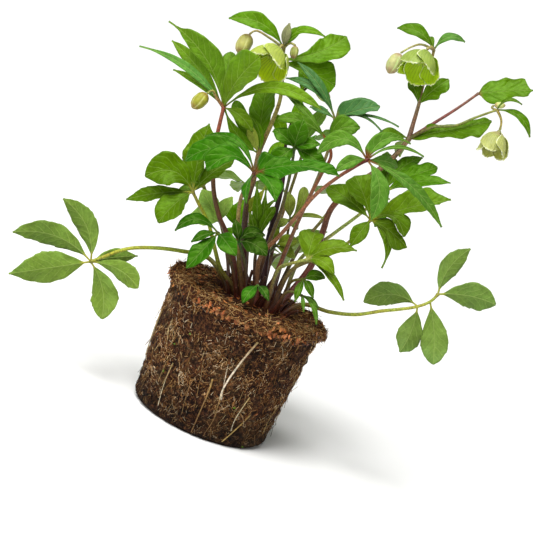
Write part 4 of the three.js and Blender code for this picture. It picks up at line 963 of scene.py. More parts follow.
# The bracts stand in groups, each round a node of the stem or of a branch.
flowerStems = {
    "flower_stem_left": {
        "bract": "#537815", "radii": (2.4, 1.5), "root": (-14, 0),
        "stalk": ("#4a1c18", "#4c3020", "#6a4a30", "#8a4a34"),
        "via": [
            (-12.8, 27, 0), (-20, 53.6, 2), (-24.2, 63.2, 3), (-29, 85, 4), (-28.6, 117.6, 4), (-25, 135.2, 4),
            (-21.1, 151.4, 5),
        ],
        "branches": [
            {"radii": (1.1, 0.8), "stalk": ("#8a5a3c", "#94a04c"), "via": [
                (-21.1, 151.4, 5), (-26.5, 159, 8), (-30, 165, 12), (-33.6, 163.2, 14),
            ]},
        ],
        "groups": [
            {"node": (-21.1, 151.4, 5), "face": (-0.2, 0.3, 1), "leaflets": [
                leaflet(-65, 220.5, 8, bow=9, edges=[
                    (0.27, 2, 8), (0.46, 4, 12.5), (0.63, 6, 10), (0.79, 3.8, 6), (0.88, 1.2, 1.4),
                ]),
                leaflet(-88.5, 200.6, 2, width=7, peak=0.45, bow=8, upper="#4c7c34", under="#88a46c"),
                leaflet(-61.4, 181.8, -4, width=6, bow=3), leaflet(-62.4, 205.1, -10, width=12, bow=3),
                leaflet(8, 192, 30, bow=-2, edges=[
                    (0.3, 6.5, 5), (0.55, 12.5, 10), (0.77, 15, 12), (0.92, 11, 8.5),
                ]),
                leaflet(-15, 196, -10, width=13, peak=0.7), leaflet(57, 150, 26, width=11, peak=0.6, bow=-15),
                leaflet(2, 132, 10, width=11, bow=-3),
            ]},
        ],
    },
    "flower_stem_middle": {
        "bract": "#4c760a", "radii": (3, 1.3), "root": (-8, 8),
        "stalk": ("#4c1816", "#3a2220", "#6c5a34", "#86803e", "#8c8a48"),
        "via": [
            (-5, 30, -16), (-4.4, 56, -14), (-1.6, 79.2, -11), (2.8, 93.6, -9), (7, 114.7, -7),
            (12, 127.2, -6), (17.4, 139.2, -5), (24, 157.6, -7), (26, 176, -8), (27, 199, -2),
        ],
        "branches": [
            {"radii": (1.1, 0.9), "stalk": ("#8c8a48", "#a8a860"), "via": [
                (27, 199, -2), (26, 201.5, 1), (24.5, 200, 3),
            ]},
            {"radii": (1, 0.7), "stalk": ("#8c8a48", "#b0a868"), "via": [
                (27, 199, -2), (16, 207, -6), (5, 213, -8), (0, 210.4, -5),
            ]},
            {"radii": (0.9, 0.7), "stalk": ("#8c8a48", "#a8b060"), "via": [
                (27, 199, -2), (32, 203, 1), (36, 201.4, 3),
            ]},
        ],
        "groups": [
            {"node": (-3.2, 66, -12.6), "face": (-0.2, 0.3, 1), "leaflets": [
                leaflet(13, 88.5, -7, width=9, peak=0.4, bow=1, arch=2, upper="#6c7a20", under="#7c8040"),
            ]},
            {"node": (7, 114.7, -7), "face": (-0.4, 0.3, 1), "leaflets": [
                leaflet(-20, 150, -4, width=10, peak=0.4, bow=-4),
                leaflet(-1, 143, -2, width=9, peak=0.45, arch=3, upper="#8a9a3c", under="#8c9050"),
                leaflet(-12, 157, -10, width=12, peak=0.7), leaflet(2, 143, -4, width=7, bow=5),
                leaflet(14, 168, -26, width=22, peak=0.66),
            ]},
            {"node": (27, 199, -2), "face": (0, 0.4, 1), "leaflets": [
                leaflet(-17, 222.9, 4, width=14.5, bow=7),
                leaflet(31.7, 219, 4, width=7.5, upper="#747860", under="#6c6450"),
                leaflet(60, 208.2, 8, width=7, bow=-8), leaflet(40, 215, -14, width=9),
                leaflet(77, 208.5, -24, bow=6, start=(26.6, 190, -4.3), edges=[
                    (0.33, 3.4, 8), (0.5, 7.5, 12), (0.66, 9.8, 14.5), (0.78, 9.5, 14), (0.92, 5, 9),
                ]),
                leaflet(68, 169, -16, start=(26.5, 187, -5), edges=[
                    (0.3, 8, 3), (0.45, 13, 8), (0.62, 15, 13.5), (0.8, 15, 16), (0.92, 10, 9),
                ]),
            ]},
        ],
    },
    "flower_stem_dark": {
        "bract": "#5a8c0c", "radii": (3.1, 1.1), "root": (9, 1),
        "stalk": ("#2c0f0e", "#1c0c10", "#2c1418", "#4c3a28"),
        "via": [
            (14.4, 43.2, -10), (20, 66, -12), (25.6, 89.6, -14), (28.8, 125.6, -18), (33.6, 140, -18),
            (40.5, 161.9, -17),
        ],
        "branches": [
            {"radii": (0.9, 0.7), "stalk": ("#4c3a28", "#6c5a34"), "via": [
                (40.5, 161.9, -17), (47, 168, -24), (53, 168, -28),
            ]},
        ],
        "groups": [
            {"node": (28.8, 125.6, -18), "face": (0, 0.3, 1), "leaflets": [
                leaflet(19, 147, -14, width=11), leaflet(14, 108, -8, width=10),
            ]},
            {"node": (40.5, 161.9, -17), "face": (0, 0.3, 1), "leaflets": [
                leaflet(37, 130, -10, width=12), leaflet(48, 188, -28, width=13),
            ]},
        ],
    },
    "flower_stem_right": {
        "bract": "#446a06", "radii": (3, 2), "root": (24, -2),
        "stalk": ("#5e2018", "#5e3a2c", "#704a34", "#7e6c48"),
        "via": [
            (48.8, 24.8, -6), (58.2, 52.2, -7), (65, 70.6, -7), (85, 90, -8), (109.1, 106.4, -8),
            (127, 126.4, -8),
        ],
        "branches": [
            {"radii": (1.7, 1.1), "stalk": ("#6c5040", "#7e6c48", "#8c8c4c"), "via": [
                (127, 126.4, -8), (131, 140.2, -10), (135.1, 154.4, -11), (139, 172, -12), (145, 188, -12),
                (147, 197.5, -10),
            ]},
            {"radii": (1.4, 1), "stalk": ("#6c4038", "#7a443c", "#7c5c48"), "via": [
                (127, 126.4, -8), (147, 139, -10), (166, 151, -10), (182.6, 162.7, -8),
            ]},
            {"radii": (1.2, 0.9), "stalk": ("#5c5c30", "#66742c", "#7c8840"), "via": [
                (127, 126.4, -8), (147, 136, -2), (164, 137, 1), (181, 143.8, 3), (197.6, 149.6, 5),
            ]},
            {"radii": (1, 0.9), "stalk": ("#8c8c4c", "#a8ac64"), "via": [
                (147, 197.5, -10), (145, 200, -5), (142, 198.5, -1),
            ]},
            {"radii": (0.9, 0.7), "stalk": ("#8c8c4c", "#a8ac64"), "via": [
                (147, 197.5, -10), (137, 202, -9), (129, 200, -7), (121, 195.5, -5),
            ]},
            {"radii": (0.9, 0.7), "stalk": ("#84803c", "#98984c"), "via": [
                (197.6, 149.6, 5), (201, 141.3, 5), (200, 134, 5),
            ]},
            {"radii": (0.8, 0.6), "stalk": ("#84803c", "#98984c"), "via": [
                (197.6, 149.6, 5), (193.4, 151.4, 4.6), (194.8, 153, 3.8),
            ]},
        ],
        "groups": [
            {"node": (127, 126.4, -8), "face": (0, 0.6, 0.8), "leaflets": [
                leaflet(193.4, 140.5, 0, arch=1, fold=0.1, edges=[
                    (0.14, 5, 4.5), (0.28, 9, 4.5), (0.42, 5.5, 7.5), (0.58, 4, 12.5), (0.76, 5, 15),
                    (0.91, 5, 9.5),
                ]),
                leaflet(98, 119, 2, width=14, peak=0.5, bow=4), leaflet(120, 112, -40, width=12),
            ]},
            {"node": (135.1, 154.4, -11), "face": (0, 0.4, 1), "leaflets": [
                leaflet(127.5, 173, -17, edges=[(0.4, 2.5, 5), (0.6, 4.5, 7.5), (0.86, 3, 6)]),
                leaflet(159, 174, -8, edges=[
                    (0.25, 3.5, 4), (0.47, 6, 9.2), (0.58, 6, 7.2), (0.68, 5.8, 9.3), (0.86, 4, 7),
                ]),
            ]},
            {"node": (147, 197.5, -10), "face": (0, 0.5, 1), "leaflets": [
                leaflet(117.8, 215, -14, width=12, bow=4),
                leaflet(172, 203.8, -12, width=8, bow=-5, upper="#4c7c34", under="#7c9c6c"),
                leaflet(143, 208, -18, width=5),
            ]},
            {"node": (182.6, 162.7, -8), "face": (0, 0.6, 0.8), "leaflets": [
                leaflet(227, 165, -10, arch=1, fold=0.1, edges=[
                    (0.12, 8, 10), (0.3, 11, 14), (0.48, 12, 9.5), (0.68, 13.5, 8), (0.87, 12, 6),
                    (0.93, 2, 2),
                ]),
                leaflet(200, 152, -16, width=9),
            ]},
            {"node": (197.6, 149.6, 5), "face": (0, 0.6, 0.8), "leaflets": [
                leaflet(223.7, 127.7, 8, width=8, bow=-5), leaflet(217.6, 153.8, 9, width=4, bow=-2, arch=6),
            ]},
        ],
    },
}
bractLook = {"under": "#7c9c46", "base": "#6c4c2c", "toothed": 0.35, "bareReach": 1.3}
flowerStalk = {"hub": 0.3, "flare": 0.3, "foot": 0.6}
branchStalk = {"hub": 0.35, "flare": 0.3}


def makeFlowerStem(name, stem):
    path = rootedPath(stem["root"], stem["via"])
    lines = [stalkLine(path, stem["radii"], stem["stalk"], **flowerStalk)]
    for branch in stem["branches"]:
        points = [place(spot) for spot in branch["via"]]
        lines.append(stalkLine(points, branch["radii"], branch["stalk"], **branchStalk))
    grids = []
    for group in stem["groups"]:
        for i, shape in enumerate(group["leaflets"]):
            shape = {"upper": stem["bract"], **bractLook, **shape}
            base = place(shape.get("start", group["node"]))
            grids.append(bladeGrid(base, shape, heading(group["face"]), f"{name}{group['node'][0]}{i}"))
    pieces = [
        bladeObject(name + "Bracts", grids, leafMaterials["leaf_green"]),
        sweep(name + "Stem", lines, stemMaterial, sides=12),
    ]
    return settle(fused(name + "Fine", pieces), "stem", name)


for name, stem in flowerStems.items():
    makeFlowerStem(name, stem)
print("flowering stems", len(flowerStems))


# Blooms and buds

# seat: where the bloom starts; aim: a place on its axis; depth: in mm; open: its reach against that.
blooms = {
    "bloom_middle": {
        "seat": (23.6, 199, 4), "aim": (11, 181, 16), "depth": 23, "open": 0.68, "outside": "#a0ae48",
        "blush": "#a89488", "blushAmount": 0.55, "inside": "#c8e020", "shadedThroat": "#8cac0c",
    },
    "bloom_right": {
        "seat": (141, 197, 0.5), "aim": (132, 176, 11), "depth": 23, "open": 0.64, "outside": "#889b42",
        "inside": "#b0d01c", "shadedThroat": "#82a60c",
    },
    "bloom_far_right": {
        "seat": (199.6, 133.2, 5), "aim": (192, 112, 9), "depth": 20, "open": 0.5, "outside": "#a6aa62",
        "inside": "#a3a755", "blush": "#a87c68", "shadedThroat": "#9c9c48",
    },
}
bloomLook = {
    "inside": "#93b014",
    # The throat is partly the tepals' own deeper green and partly painted shade deep in the cup.
    "shadedThroat": "#5c7410",
    "outside": "#bccb6c",
    "edge": "#e2e8bc",
    "blush": "#a08478",
    "blushAmount": 0.4,
    "vein": "#567808",
    "veins": 6.0,  # to each half of a tepal
    "receptacle": "#7e8244",
    "anther": "#b8b860",
    "filament": "#a8b460",
    "style": "#94aa48",
    "styleHeight": 8,  # mm
    "stamens": 40,
    "stamenHeight": 0.36,  # against the bloom's depth
}
goldenAngle = 2.399963
quarterTurn = 1.57


def bloomMaterial(name, look):
    # The UV map holds the place across a tepal, from -1 to 1, and along it.
    material, tree = newMaterial(name)
    spots, under = objectPlace(tree), surfaceValue(tree, "under")
    across, along = surfaceMap(tree)
    patch = grain(spots, 110.0)
    # The inside darkens into the throat: partly its own deeper green, partly painted shade deep in the cup.
    inside = blend(ramp(along, 0.1, 0.6), tone(look["shadedThroat"]), tone(look["inside"]))
    blushed = timesPlus(patch, 0.6, ramp(along, 0.05, 0.6, 1.0, 0.0))
    blushed = ramp(blushed, 0.45, 1.2, 0.0, look["blushAmount"])
    base = blend(under, inside, blend(blushed, tone(look["outside"]), tone(look["blush"])))
    lines = away(reckon("FRACT", timesPlus(patch, 0.7, times(across, look["veins"]))), 0.5)
    vein = times(ramp(lines, 0.3, 0.5, 0.0, 0.8), ramp(along, 0.3, 0.95, 1.0, 0.2))
    base = blend(vein, base, tone(look["vein"]))
    rim = reckon("MAXIMUM", ramp(reckon("ABSOLUTE", across), 0.9, 1.0), ramp(along, 0.93, 1.0))
    base = blend(times(rim, ramp(patch, 0.3, 0.6, 0.35, 0.9)), base, tone(look["edge"]))
    return dressed(material, {
        "Base Color": shaded(base, ramp(patch, 0.3, 0.7, 0.88, 1.08)),
        "Normal": relief(timesPlus(grain(spots, 500.0, 2.0), 0.4, vein), 0.25 * mm, 0.8),
        "Roughness": 0.55,
        "Specular IOR Level": 0.3,
        "Subsurface Weight": 0.45,
        "Subsurface Radius": (1.0, 1.0, 0.4),
        "Subsurface Scale": 1.2 * mm,
    })


def plainMaterial(name, roughness):
    material, tree = newMaterial(name)
    shade = ramp(grain(objectPlace(tree), 300.0), 0.3, 0.7, 0.88, 1.12)
    return dressed(material, {"Base Color": shaded(tone(bloomLook[name]), shade), "Roughness": roughness})


antherMaterial = plainMaterial("anther", 0.7)
filamentMaterial = plainMaterial("filament", 0.5)
styleMaterial = plainMaterial("style", 0.4)


def stamenTree():
    # A thread with an anther on every point, leaning along its direction attribute.
    tree, given = newTree("stamens", {
        "Height": ("Float", 9 * mm),
        "Thickness": ("Float", 0.16 * mm),
        "Anther": ("Float", 0.55 * mm),
        "Seed": ("Int", 4),
        "Filament Material": ("Material", None),
        "Anther Material": ("Material", None),
    })
    top = wire("ShaderNodeCombineXYZ", {2: given["Height"]})
    thread = wire("GeometryNodeCurvePrimitiveLine", {"End": top})
    thread = wire("GeometryNodeResampleCurve", {"Curve": thread, "Count": 5})
    anther = wire("GeometryNodeMeshIcoSphere", {"Radius": given["Anther"], "Subdivisions": 2})
    anther = wire("GeometryNodeTransform", {"Geometry": anther, "Translation": top, "Scale": (1.0, 0.7, 1.5)})
    thread = painted(tube(thread, 5, given["Thickness"]), given["Filament Material"])
    stamen = wire("GeometryNodeJoinGeometry", {"Geometry": thread})
    tree.links.new(painted(anther, given["Anther Material"]), stamen.node.inputs["Geometry"])
    direction = ownValue(tree, "direction", "FLOAT_VECTOR")
    lean = wire("FunctionNodeAlignRotationToVector", {"Vector": direction}, axis="Z")
    sizes = {"Min": 0.75, "Max": 1.08, "Seed": given["Seed"]}
    size = wire("FunctionNodeRandomValue", sizes, out="Value", data_type="FLOAT")
    laid = {"Points": given["Geometry"], "Instance": stamen, "Rotation": lean, "Scale": size}
    return endTree(realized(wire("GeometryNodeInstanceOnPoints", laid)))


stamenThreads = stamenTree()

tepal = {
    "count": 5,
    "turn": 0.3,  # radians
    "halfAngle": 0.84,
    "curve": 1.7,  # above 1.57 it closes again towards its tip
    "tuck": 2.0,  # mm that one edge lies outside its neighbour
    "back": 1.2,  # mm that a tepal starts behind the middle of the heart
    "rows": 34,
    "columns": 29,
    "thickness": 0.45,  # mm
    "frill": 0.45,  # mm
    "heart": 2.9,  # mm in front of the seat
}
tepalWidth = {"along": [0, 0.35, 0.72, 1], "share": [0.2, 1, 1.25, 0.62]}


def axesFor(flower):
    # Its seat, the direction it faces and two directions square to that.
    seat = place(flower["seat"])
    axis = unit(place(flower["aim"]) - seat)
    helper = np.array([1.0, 0, 0]) if abs(axis[2]) > 0.9 else np.array([0, 0, 1.0])
    first = unit(np.cross(axis, helper))
    return seat, axis, first, np.cross(axis, first)


def around(first, second, angle):
    return first * np.cos(angle)[..., None] + second * np.sin(angle)[..., None]


def tepalGrid(heart, axis, first, second, bloom, i):
    phase = roughTurn * random.Random(f"tepal{bloom['depth']}{bloom['open']}{i}").random()
    t = np.linspace(0, 1, tepal["rows"])[:, None]
    a = np.linspace(-1, 1, tepal["columns"])[None, :]
    out = np.abs(a)
    share = t * (1 - 0.1 * out**3 * t**4)
    width = easedCurve(t, tepalWidth["along"], tepalWidth["share"]) * tepal["halfAngle"]
    angle = 2 * math.pi * i / tepal["count"] + tepal["turn"] + a * width
    frilled = np.maximum(out**5 * np.clip(t * 2 - 0.5, 0, 1), np.clip((t - 0.82) / 0.18, 0, 1))
    waves = np.sin(12 * a + phase + 5 * t) + 0.6 * np.sin(27 * t + 17 * a + 2 * phase)
    depth = bloom["depth"] * mm
    reach = depth * bloom["open"] * np.sin(tepal["curve"] * share) + 1 * mm
    reach = reach + tepal["tuck"] * mm * a * np.minimum(3 * t, 1) + tepal["frill"] * mm * frilled * waves
    rise = depth * share**1.5 - tepal["back"] * mm - 0.35 * mm * frilled * (1 + np.sin(19 * a + 3 * phase))
    outward = around(first, second, angle)
    normal = unit(outward + axis * (-0.35 + 0.2 * t)[..., None])
    middle = heart + outward * reach[..., None] + axis * rise[..., None]
    thick = normal * (tepal["thickness"] / 2 * mm * (1 - 0.45 * frilled))[..., None]
    return thinSkin(middle - thick, middle + thick, (a, t), 0.0, [np.ones(4)] * 2)


def plainLine(points, radii, code):
    return np.array(points), np.array(radii) * mm, np.tile(tone(code), (len(points), 1))


def makeBloom(name, bloom):
    seat, axis, first, second = axesFor(bloom)
    heart = seat + axis * tepal["heart"] * mm
    grids = [tepalGrid(heart, axis, first, second, bloom, i) for i in range(tepal["count"])]
    tepals = bladeObject(name + "Tepals", grids, bloomMaterial(name, {**bloomLook, **bloom}))

    rng = random.Random(name)
    feet, directions = [], []
    for i in range(bloomLook["stamens"]):
        radius = 0.8 + 1.6 * math.sqrt((i + 0.5) / bloomLook["stamens"])
        outward = around(first, second, goldenAngle * i)
        feet.append(heart + (outward * radius + axis * 0.6) * mm)
        directions.append(axis + outward * radius * (0.12 + 0.06 * rng.random()))
    stamens = meshObject(name + "Stamens", feet, [], [filamentMaterial, antherMaterial])
    storeValues(stamens.data, "direction", "FLOAT_VECTOR", directions)
    runTree(stamens, stamenThreads, {
        "Height": bloom["depth"] * bloomLook["stamenHeight"] * mm,
        "Filament Material": filamentMaterial,
        "Anther Material": antherMaterial,
    })

    knob = [point + axis * lift * mm for point, lift in ((seat, -0.2), (seat, 1.4), (heart, 0.6), (heart, 1.6))]
    receptacle = plainLine(knob, [1.0, 2.0, 2.3, 0.8], bloomLook["receptacle"])
    styles = []
    for i in range(4):
        outward = around(first, second, quarterTurn * i + 0.4)
        path = [
            heart + (outward * (0.5 + 0.4 * share) + axis * (0.5 + bloomLook["styleHeight"] * share)) * mm
            for share in (0, 0.4, 0.7, 1)
        ]
        styles.append(plainLine(path, [1.0, 0.9, 0.4, 0.25], bloomLook["style"]))
    pieces = [
        tepals,
        smoothFaces(stamens),
        sweep(name + "Receptacle", [receptacle], petioleMaterial, 14, 0.1 * mm),
        sweep(name + "Styles", styles, styleMaterial, 8, 0.1 * mm),
    ]
    return settle(fused(name + "Fine", pieces), "bloom", name)


for name, bloom in blooms.items():
    makeBloom(name, bloom)
print("blooms", len(blooms))


# A bud reaches from its seat to its aim.
buds = {
    "bud_left": {
        "seat": (-34.3, 162.6, 14.3), "aim": (-46, 151.5, 16), "radius": 5.8, "body": "#949529",
        "blush": "#7c5428",
    },
    "bud_top": {
        "seat": (-0.4, 209.8, -4.6), "aim": (-9, 195, -2), "radius": 6.4, "body": "#b8b565",
        "blush": "#94683c",
    },
    "bud_small_middle": {
        "seat": (36.4, 200.8, 3.3), "aim": (34.5, 191, 6), "radius": 3.5, "body": "#858c3d",
    },
    "bud_right": {
        "seat": (120.2, 194.4, -4.8), "aim": (111, 179.5, -2), "radius": 6.2, "body": "#b1b175",
        "blush": "#a0705c", "seam": "#b8dc8a",
    },
    "bud_small_far_right": {
        "seat": (195.5, 153.5, 3.4), "aim": (204, 153.2, 2.8), "radius": 2.7, "body": "#c0c878",
    },
    "bud_hidden": {
        "seat": (53.6, 167.5, -28.5), "aim": (63, 157, -32), "radius": 5, "body": "#a8b05c",
    },
}
budLook = {
    "body": "#b4b860",
    "blush": "#94684c",
    "blushAmount": 0.6,
    "seam": "#d4d690",
    "tepals": 5,
    "sides": 50,
    "rows": 32,
}
budProfile = {"along": [0, 0.1, 0.3, 0.55, 0.85, 1], "share": [0.3, 0.7, 0.97, 1, 0.72, 0.2]}


def budMaterial(name, look):
    # The UV map holds the place across a tepal of the bud and along the bud.
    material, tree = newMaterial(name)
    spots, seam = objectPlace(tree), surfaceValue(tree, "edge")
    _, along = surfaceMap(tree)
    blushed = timesPlus(grain(spots, 120.0), 0.7, ramp(away(along, 0.5), 0.15, 0.5))
    blushed = ramp(blushed, 0.4, 1.2, 0.0, look["blushAmount"])
    base = blend(blushed, tone(look["body"]), tone(look["blush"]))
    base = blend(times(seam, 0.7), base, tone(look["seam"]))
    return dressed(material, {
        "Base Color": shaded(base, ramp(grain(spots, 260.0), 0.3, 0.7, 0.86, 1.1)),
        "Normal": relief(grain(spots, 400.0, 2.0), 0.2 * mm, 0.7),
        "Roughness": 0.5,
        "Specular IOR Level": 0.3,
        "Subsurface Weight": 0.12,
        "Subsurface Radius": (1.0, 0.9, 0.4),
        "Subsurface Scale": 1.2 * mm,
    })


def makeBud(name, bud):
    # Its tepals wrap round each other, so the section steps outward at each of their edges.
    seat, axis, first, second = axesFor(bud)
    length = np.linalg.norm(place(bud["aim"]) - seat)
    rows, sides = budLook["rows"], budLook["sides"]
    t = np.linspace(0, 1, rows)[:, None]
    angle = np.linspace(0, 2 * math.pi, sides, endpoint=False)[None, :]
    turned = (angle + 0.5 * t) * budLook["tepals"] / (2 * math.pi) % 1.0
    step = 0.06 * turned + 0.04 * np.sin(math.pi * turned)
    seam = np.exp(-((np.minimum(turned, 1 - turned) / 0.07) ** 2)) * np.clip(t * 3 - 0.2, 0, 1)
    share = easedCurve(t, budProfile["along"], budProfile["share"])
    radius = bud["radius"] * mm * share * (0.91 + step - 0.03 * seam)
    centre = seat + axis * (0.3 * mm + length * t)[..., None]
    points = (centre + around(first, second, angle) * radius[..., None]).reshape(-1, 3)
    ends = [seat + axis * 0.3 * mm, seat + axis * (0.35 * mm + length)]
    uv = np.stack([turned, np.broadcast_to(t, turned.shape)], -1).reshape(-1, 2)
    obj = meshObject(
        name + "Fine",
        np.concatenate([points, ends]),
        closedRings(rows, sides),
        [budMaterial(name, {**budLook, **bud})],
        uv=np.concatenate([uv, [[0, 0], [0, 1]]]),
        floats={"edge": np.append(seam, [0, 0])},
    )
    return settle(smoothFaces(obj), "bud", name)


for name, bud in buds.items():
    makeBud(name, bud)
print("buds", len(buds))


# Root ball

ball = {
    "baseRadius": 56,
    "widest": 69.8,
    "sides": 260,
    "rows": 120,
    "lipRows": 24,
    "topRings": 30,
    "underMat": 97,
    "mat": 100,  # height at which the fibre mat starts
    "roughness": 1.3,  # mm
    "clods": 1.1,
    "clodSize": 9,
    "matClods": 3.4,
    "matTatters": 2.4,
    "topClods": 1.4,
    "topClodSize": 12,
}
# Heights in mm up the side, and how far it stands out of the base's radius there.
ballProfile = {
    "height": [0, 3, 25, 50, 75, 95, 99, 102, 105, 108],
    "out": [-3, 0, 1.6, 3.5, 5.2, 6.5, 8, 10.5, 10.5, 7],
}
peat = {
    "black": "#0a0504",
    "brown": "#341b13",
    "tan": "#885632",
    "olive": "#5c4428",
    "cream": "#c4a878",
    "straw": "#8c6230",
    "mat": "#542c16",
}


def lumps(x, y, z, size):
    a, b, c = x / size, y / size, z / size
    waves = np.sin(a * 2.1 + b * 1.3 + 0.7) + np.sin(b * 2.7 - c * 1.9 + 2.1)
    return (waves + np.sin(c * 2.3 + a * 1.1 + 4.2) + np.sin(a * 3.1 - b * 2.3 + c * 2.9)) / 4


def ballRadius(height):
    return ball["baseRadius"] + np.interp(height, ballProfile["height"], ballProfile["out"])


def threads(spots, scale, width):
    # Thin wandering lines, like fine roots: the places where a noise passes its middle value.
    return ramp(away(grain(spots, scale, 2.0, 0.6), 0.5), 0.0, width, 1.0, 0.0)


def darkerTowardsFoot(spots, darkest):
    # The colour darkens towards the foot of the ball, over its lowest 40 mm.
    return ramp(wire("ShaderNodeSeparateXYZ", {0: spots}, out=2), 0.0, 0.04, darkest, 1.0)


def peatMaterial():
    material, tree = newMaterial("peat")
    tones = {key: tone(code) for key, code in peat.items()}
    spots, mat = objectPlace(tree), surfaceValue(tree, "mat")
    clods = grain(spots, 60.0, 4.0, 0.65)
    crumbs = grain(spots, 450.0, 4.0, 0.8)
    patches = grain(spots, 26.0, 3.0, 0.6)
    base = blend(ramp(clods, 0.36, 0.62), tones["black"], tones["brown"])
    base = blend(ramp(patches, 0.5, 0.66, 0.0, 0.7), base, tones["olive"])
    base = blend(ramp(crumbs, 0.5, 0.68), base, tones["tan"])
    fine, wide = threads(spots, 330.0, 0.03), threads(spots, 170.0, 0.018)
    rare = times(threads(spots, 95.0, 0.009), ramp(patches, 0.42, 0.6))
    for lines, amount, key in ((fine, 0.75, "tan"), (wide, 0.8, "straw"), (rare, 0.8, "cream")):
        base = blend(times(lines, amount), base, tones[key])
    # Painted shade: the colour darkens in small pits between the crumbs and towards the middle of the top,
    # among the feet of the stalks. It also darkens towards the foot of the ball.
    pits = wire("ShaderNodeTexVoronoi", {"Vector": spots, "Scale": 300.0}, out="Distance")
    level = wire("ShaderNodeVectorMath", {0: spots, 1: (1, 1, 0)}, operation="MULTIPLY")
    fromAxis = wire("ShaderNodeVectorMath", {0: level}, out="Value", operation="LENGTH")
    shade = times(darkerTowardsFoot(spots, 0.4), ramp(fromAxis, 0.016, 0.045, 0.3, 1.0))
    base = shaded(base, times(ramp(pits, 0.3, 0.8, 1.0, 0.25), shade))
    matColour = blend(ramp(crumbs, 0.4, 0.65), tones["brown"], tones["mat"])
    height = timesPlus(crumbs, 0.6, times(clods, 0.6))
    return dressed(material, {
        "Base Color": blend(times(mat, 0.8), base, matColour),
        "Normal": relief(timesPlus(reckon("MAXIMUM", fine, wide), 0.25, height), 2.0 * mm),
        "Roughness": 0.9,
        "Specular IOR Level": 0.15,
    })


strandColours = {
    "rootHairs": [(0.0, "#0c0503"), (0.36, "#30180f"), (0.56, "#985f32"), (0.8, "#dea86a"), (1.0, "#fff0cc")],
    "straw": [(0.0, "#1a0c06"), (0.35, "#4e2a14"), (0.7, "#a0703a"), (1.0, "#e0bc80")],
    "runners": [(0.0, "#3c2412"), (0.5, "#8a6434"), (1.0, "#d8c08c")],
}


def strandMaterial(name, stops):
    # Every strand takes its own colour from its random shade.
    material, tree = newMaterial(name)
    colour = wire("ShaderNodeValToRGB", {"Fac": surfaceValue(tree, "shade")})
    elements = colour.node.color_ramp.elements
    while len(elements) < len(stops):
        elements.new(0.5)
    for element, (position, code) in zip(elements, stops):
        element.position = position
        element.color = tone(code)
    spots = objectPlace(tree)
    mottle = ramp(grain(spots, 700.0, 2.0), 0.3, 0.7, 0.75, 1.2)
    # The strands, too, darken towards the foot of the ball.
    return dressed(material, {
        "Base Color": shaded(colour, times(mottle, darkerTowardsFoot(spots, 0.35))),
        "Roughness": 0.75,
        "Specular IOR Level": 0.12,
    })


peatSurface = peatMaterial()
strandMaterials = {name: strandMaterial(name, stops) for name, stops in strandColours.items()}
rootMaterial = stalkMaterial("pulledRoot", ruddiness=0.04)
chipMaterial = stalkMaterial("chips", ruddiness=0.03)


def ballMesh():
    sides, lipRows, split = ball["sides"], ball["lipRows"], ball["underMat"]
    angle = np.linspace(0, 2 * math.pi, sides, endpoint=False)
    side, lip = np.linspace(0, split - 2, ball["rows"] - lipRows), np.linspace(split - 1, ballHeight, lipRows)
    outline = [(ballRadius(height), height) for height in np.concatenate([side, lip])]
    rim = ballRadius(ballHeight)
    outline += [(rim * (1 - share), ballHeight) for share in np.linspace(0, 1, ball["topRings"] + 1)[1:-1]]
    points, mats = [], []
    for radius, height in outline:
        x, y = radius * np.cos(angle), radius * np.sin(angle)
        spots = np.stack([x, y, np.full(sides, height)], -1)
        rough = np.array([noise.fractal(Vector(spot), 0.8, 2.1, 4) for spot in spots * 0.16])
        ragged = np.array([noise.noise(Vector(spot)) for spot in spots * 0.45])
        onEdge = np.clip((height - ball["mat"] + 1) / 2.5, 0, 1) * np.clip((radius - 50) / 8, 0, 1)
        onTop = height >= ballHeight and radius < rim - 0.5
        if onTop:
            z = height + ball["topClods"] * lumps(y, height, x, ball["topClodSize"]) + 1.2 * rough - 1.0
            z = z - 1.5 * np.clip(radius / rim - 0.8, 0, 1)
            scale = 1
        else:
            push = ball["matClods"] * onEdge + ball["clods"] * (1 - onEdge)
            push = push * lumps(x, y, height * 2.0, ball["clodSize"]) + ball["roughness"] * rough
            push = (push + onEdge * ball["matTatters"] * ragged) * np.clip(height / 3, 0, 1)
            z = height + onEdge * 1.8 * rough
            scale = 1 + push / max(radius, 1)
        points.append(np.stack([x * scale, y * scale, z], -1))
        mats.append(np.full(sides, max(onEdge, 0.55 * onTop)))
    points = np.concatenate(points + [[[0, 0, 0], [0, 0, ballHeight - 0.5]]]) * mm
    mats = np.concatenate(mats + [[0, 0.5]])
    faces = closedRings(len(outline), sides)
    return smoothFaces(meshObject("rootBallFine", points, faces, [peatSurface], floats={"mat": mats}))


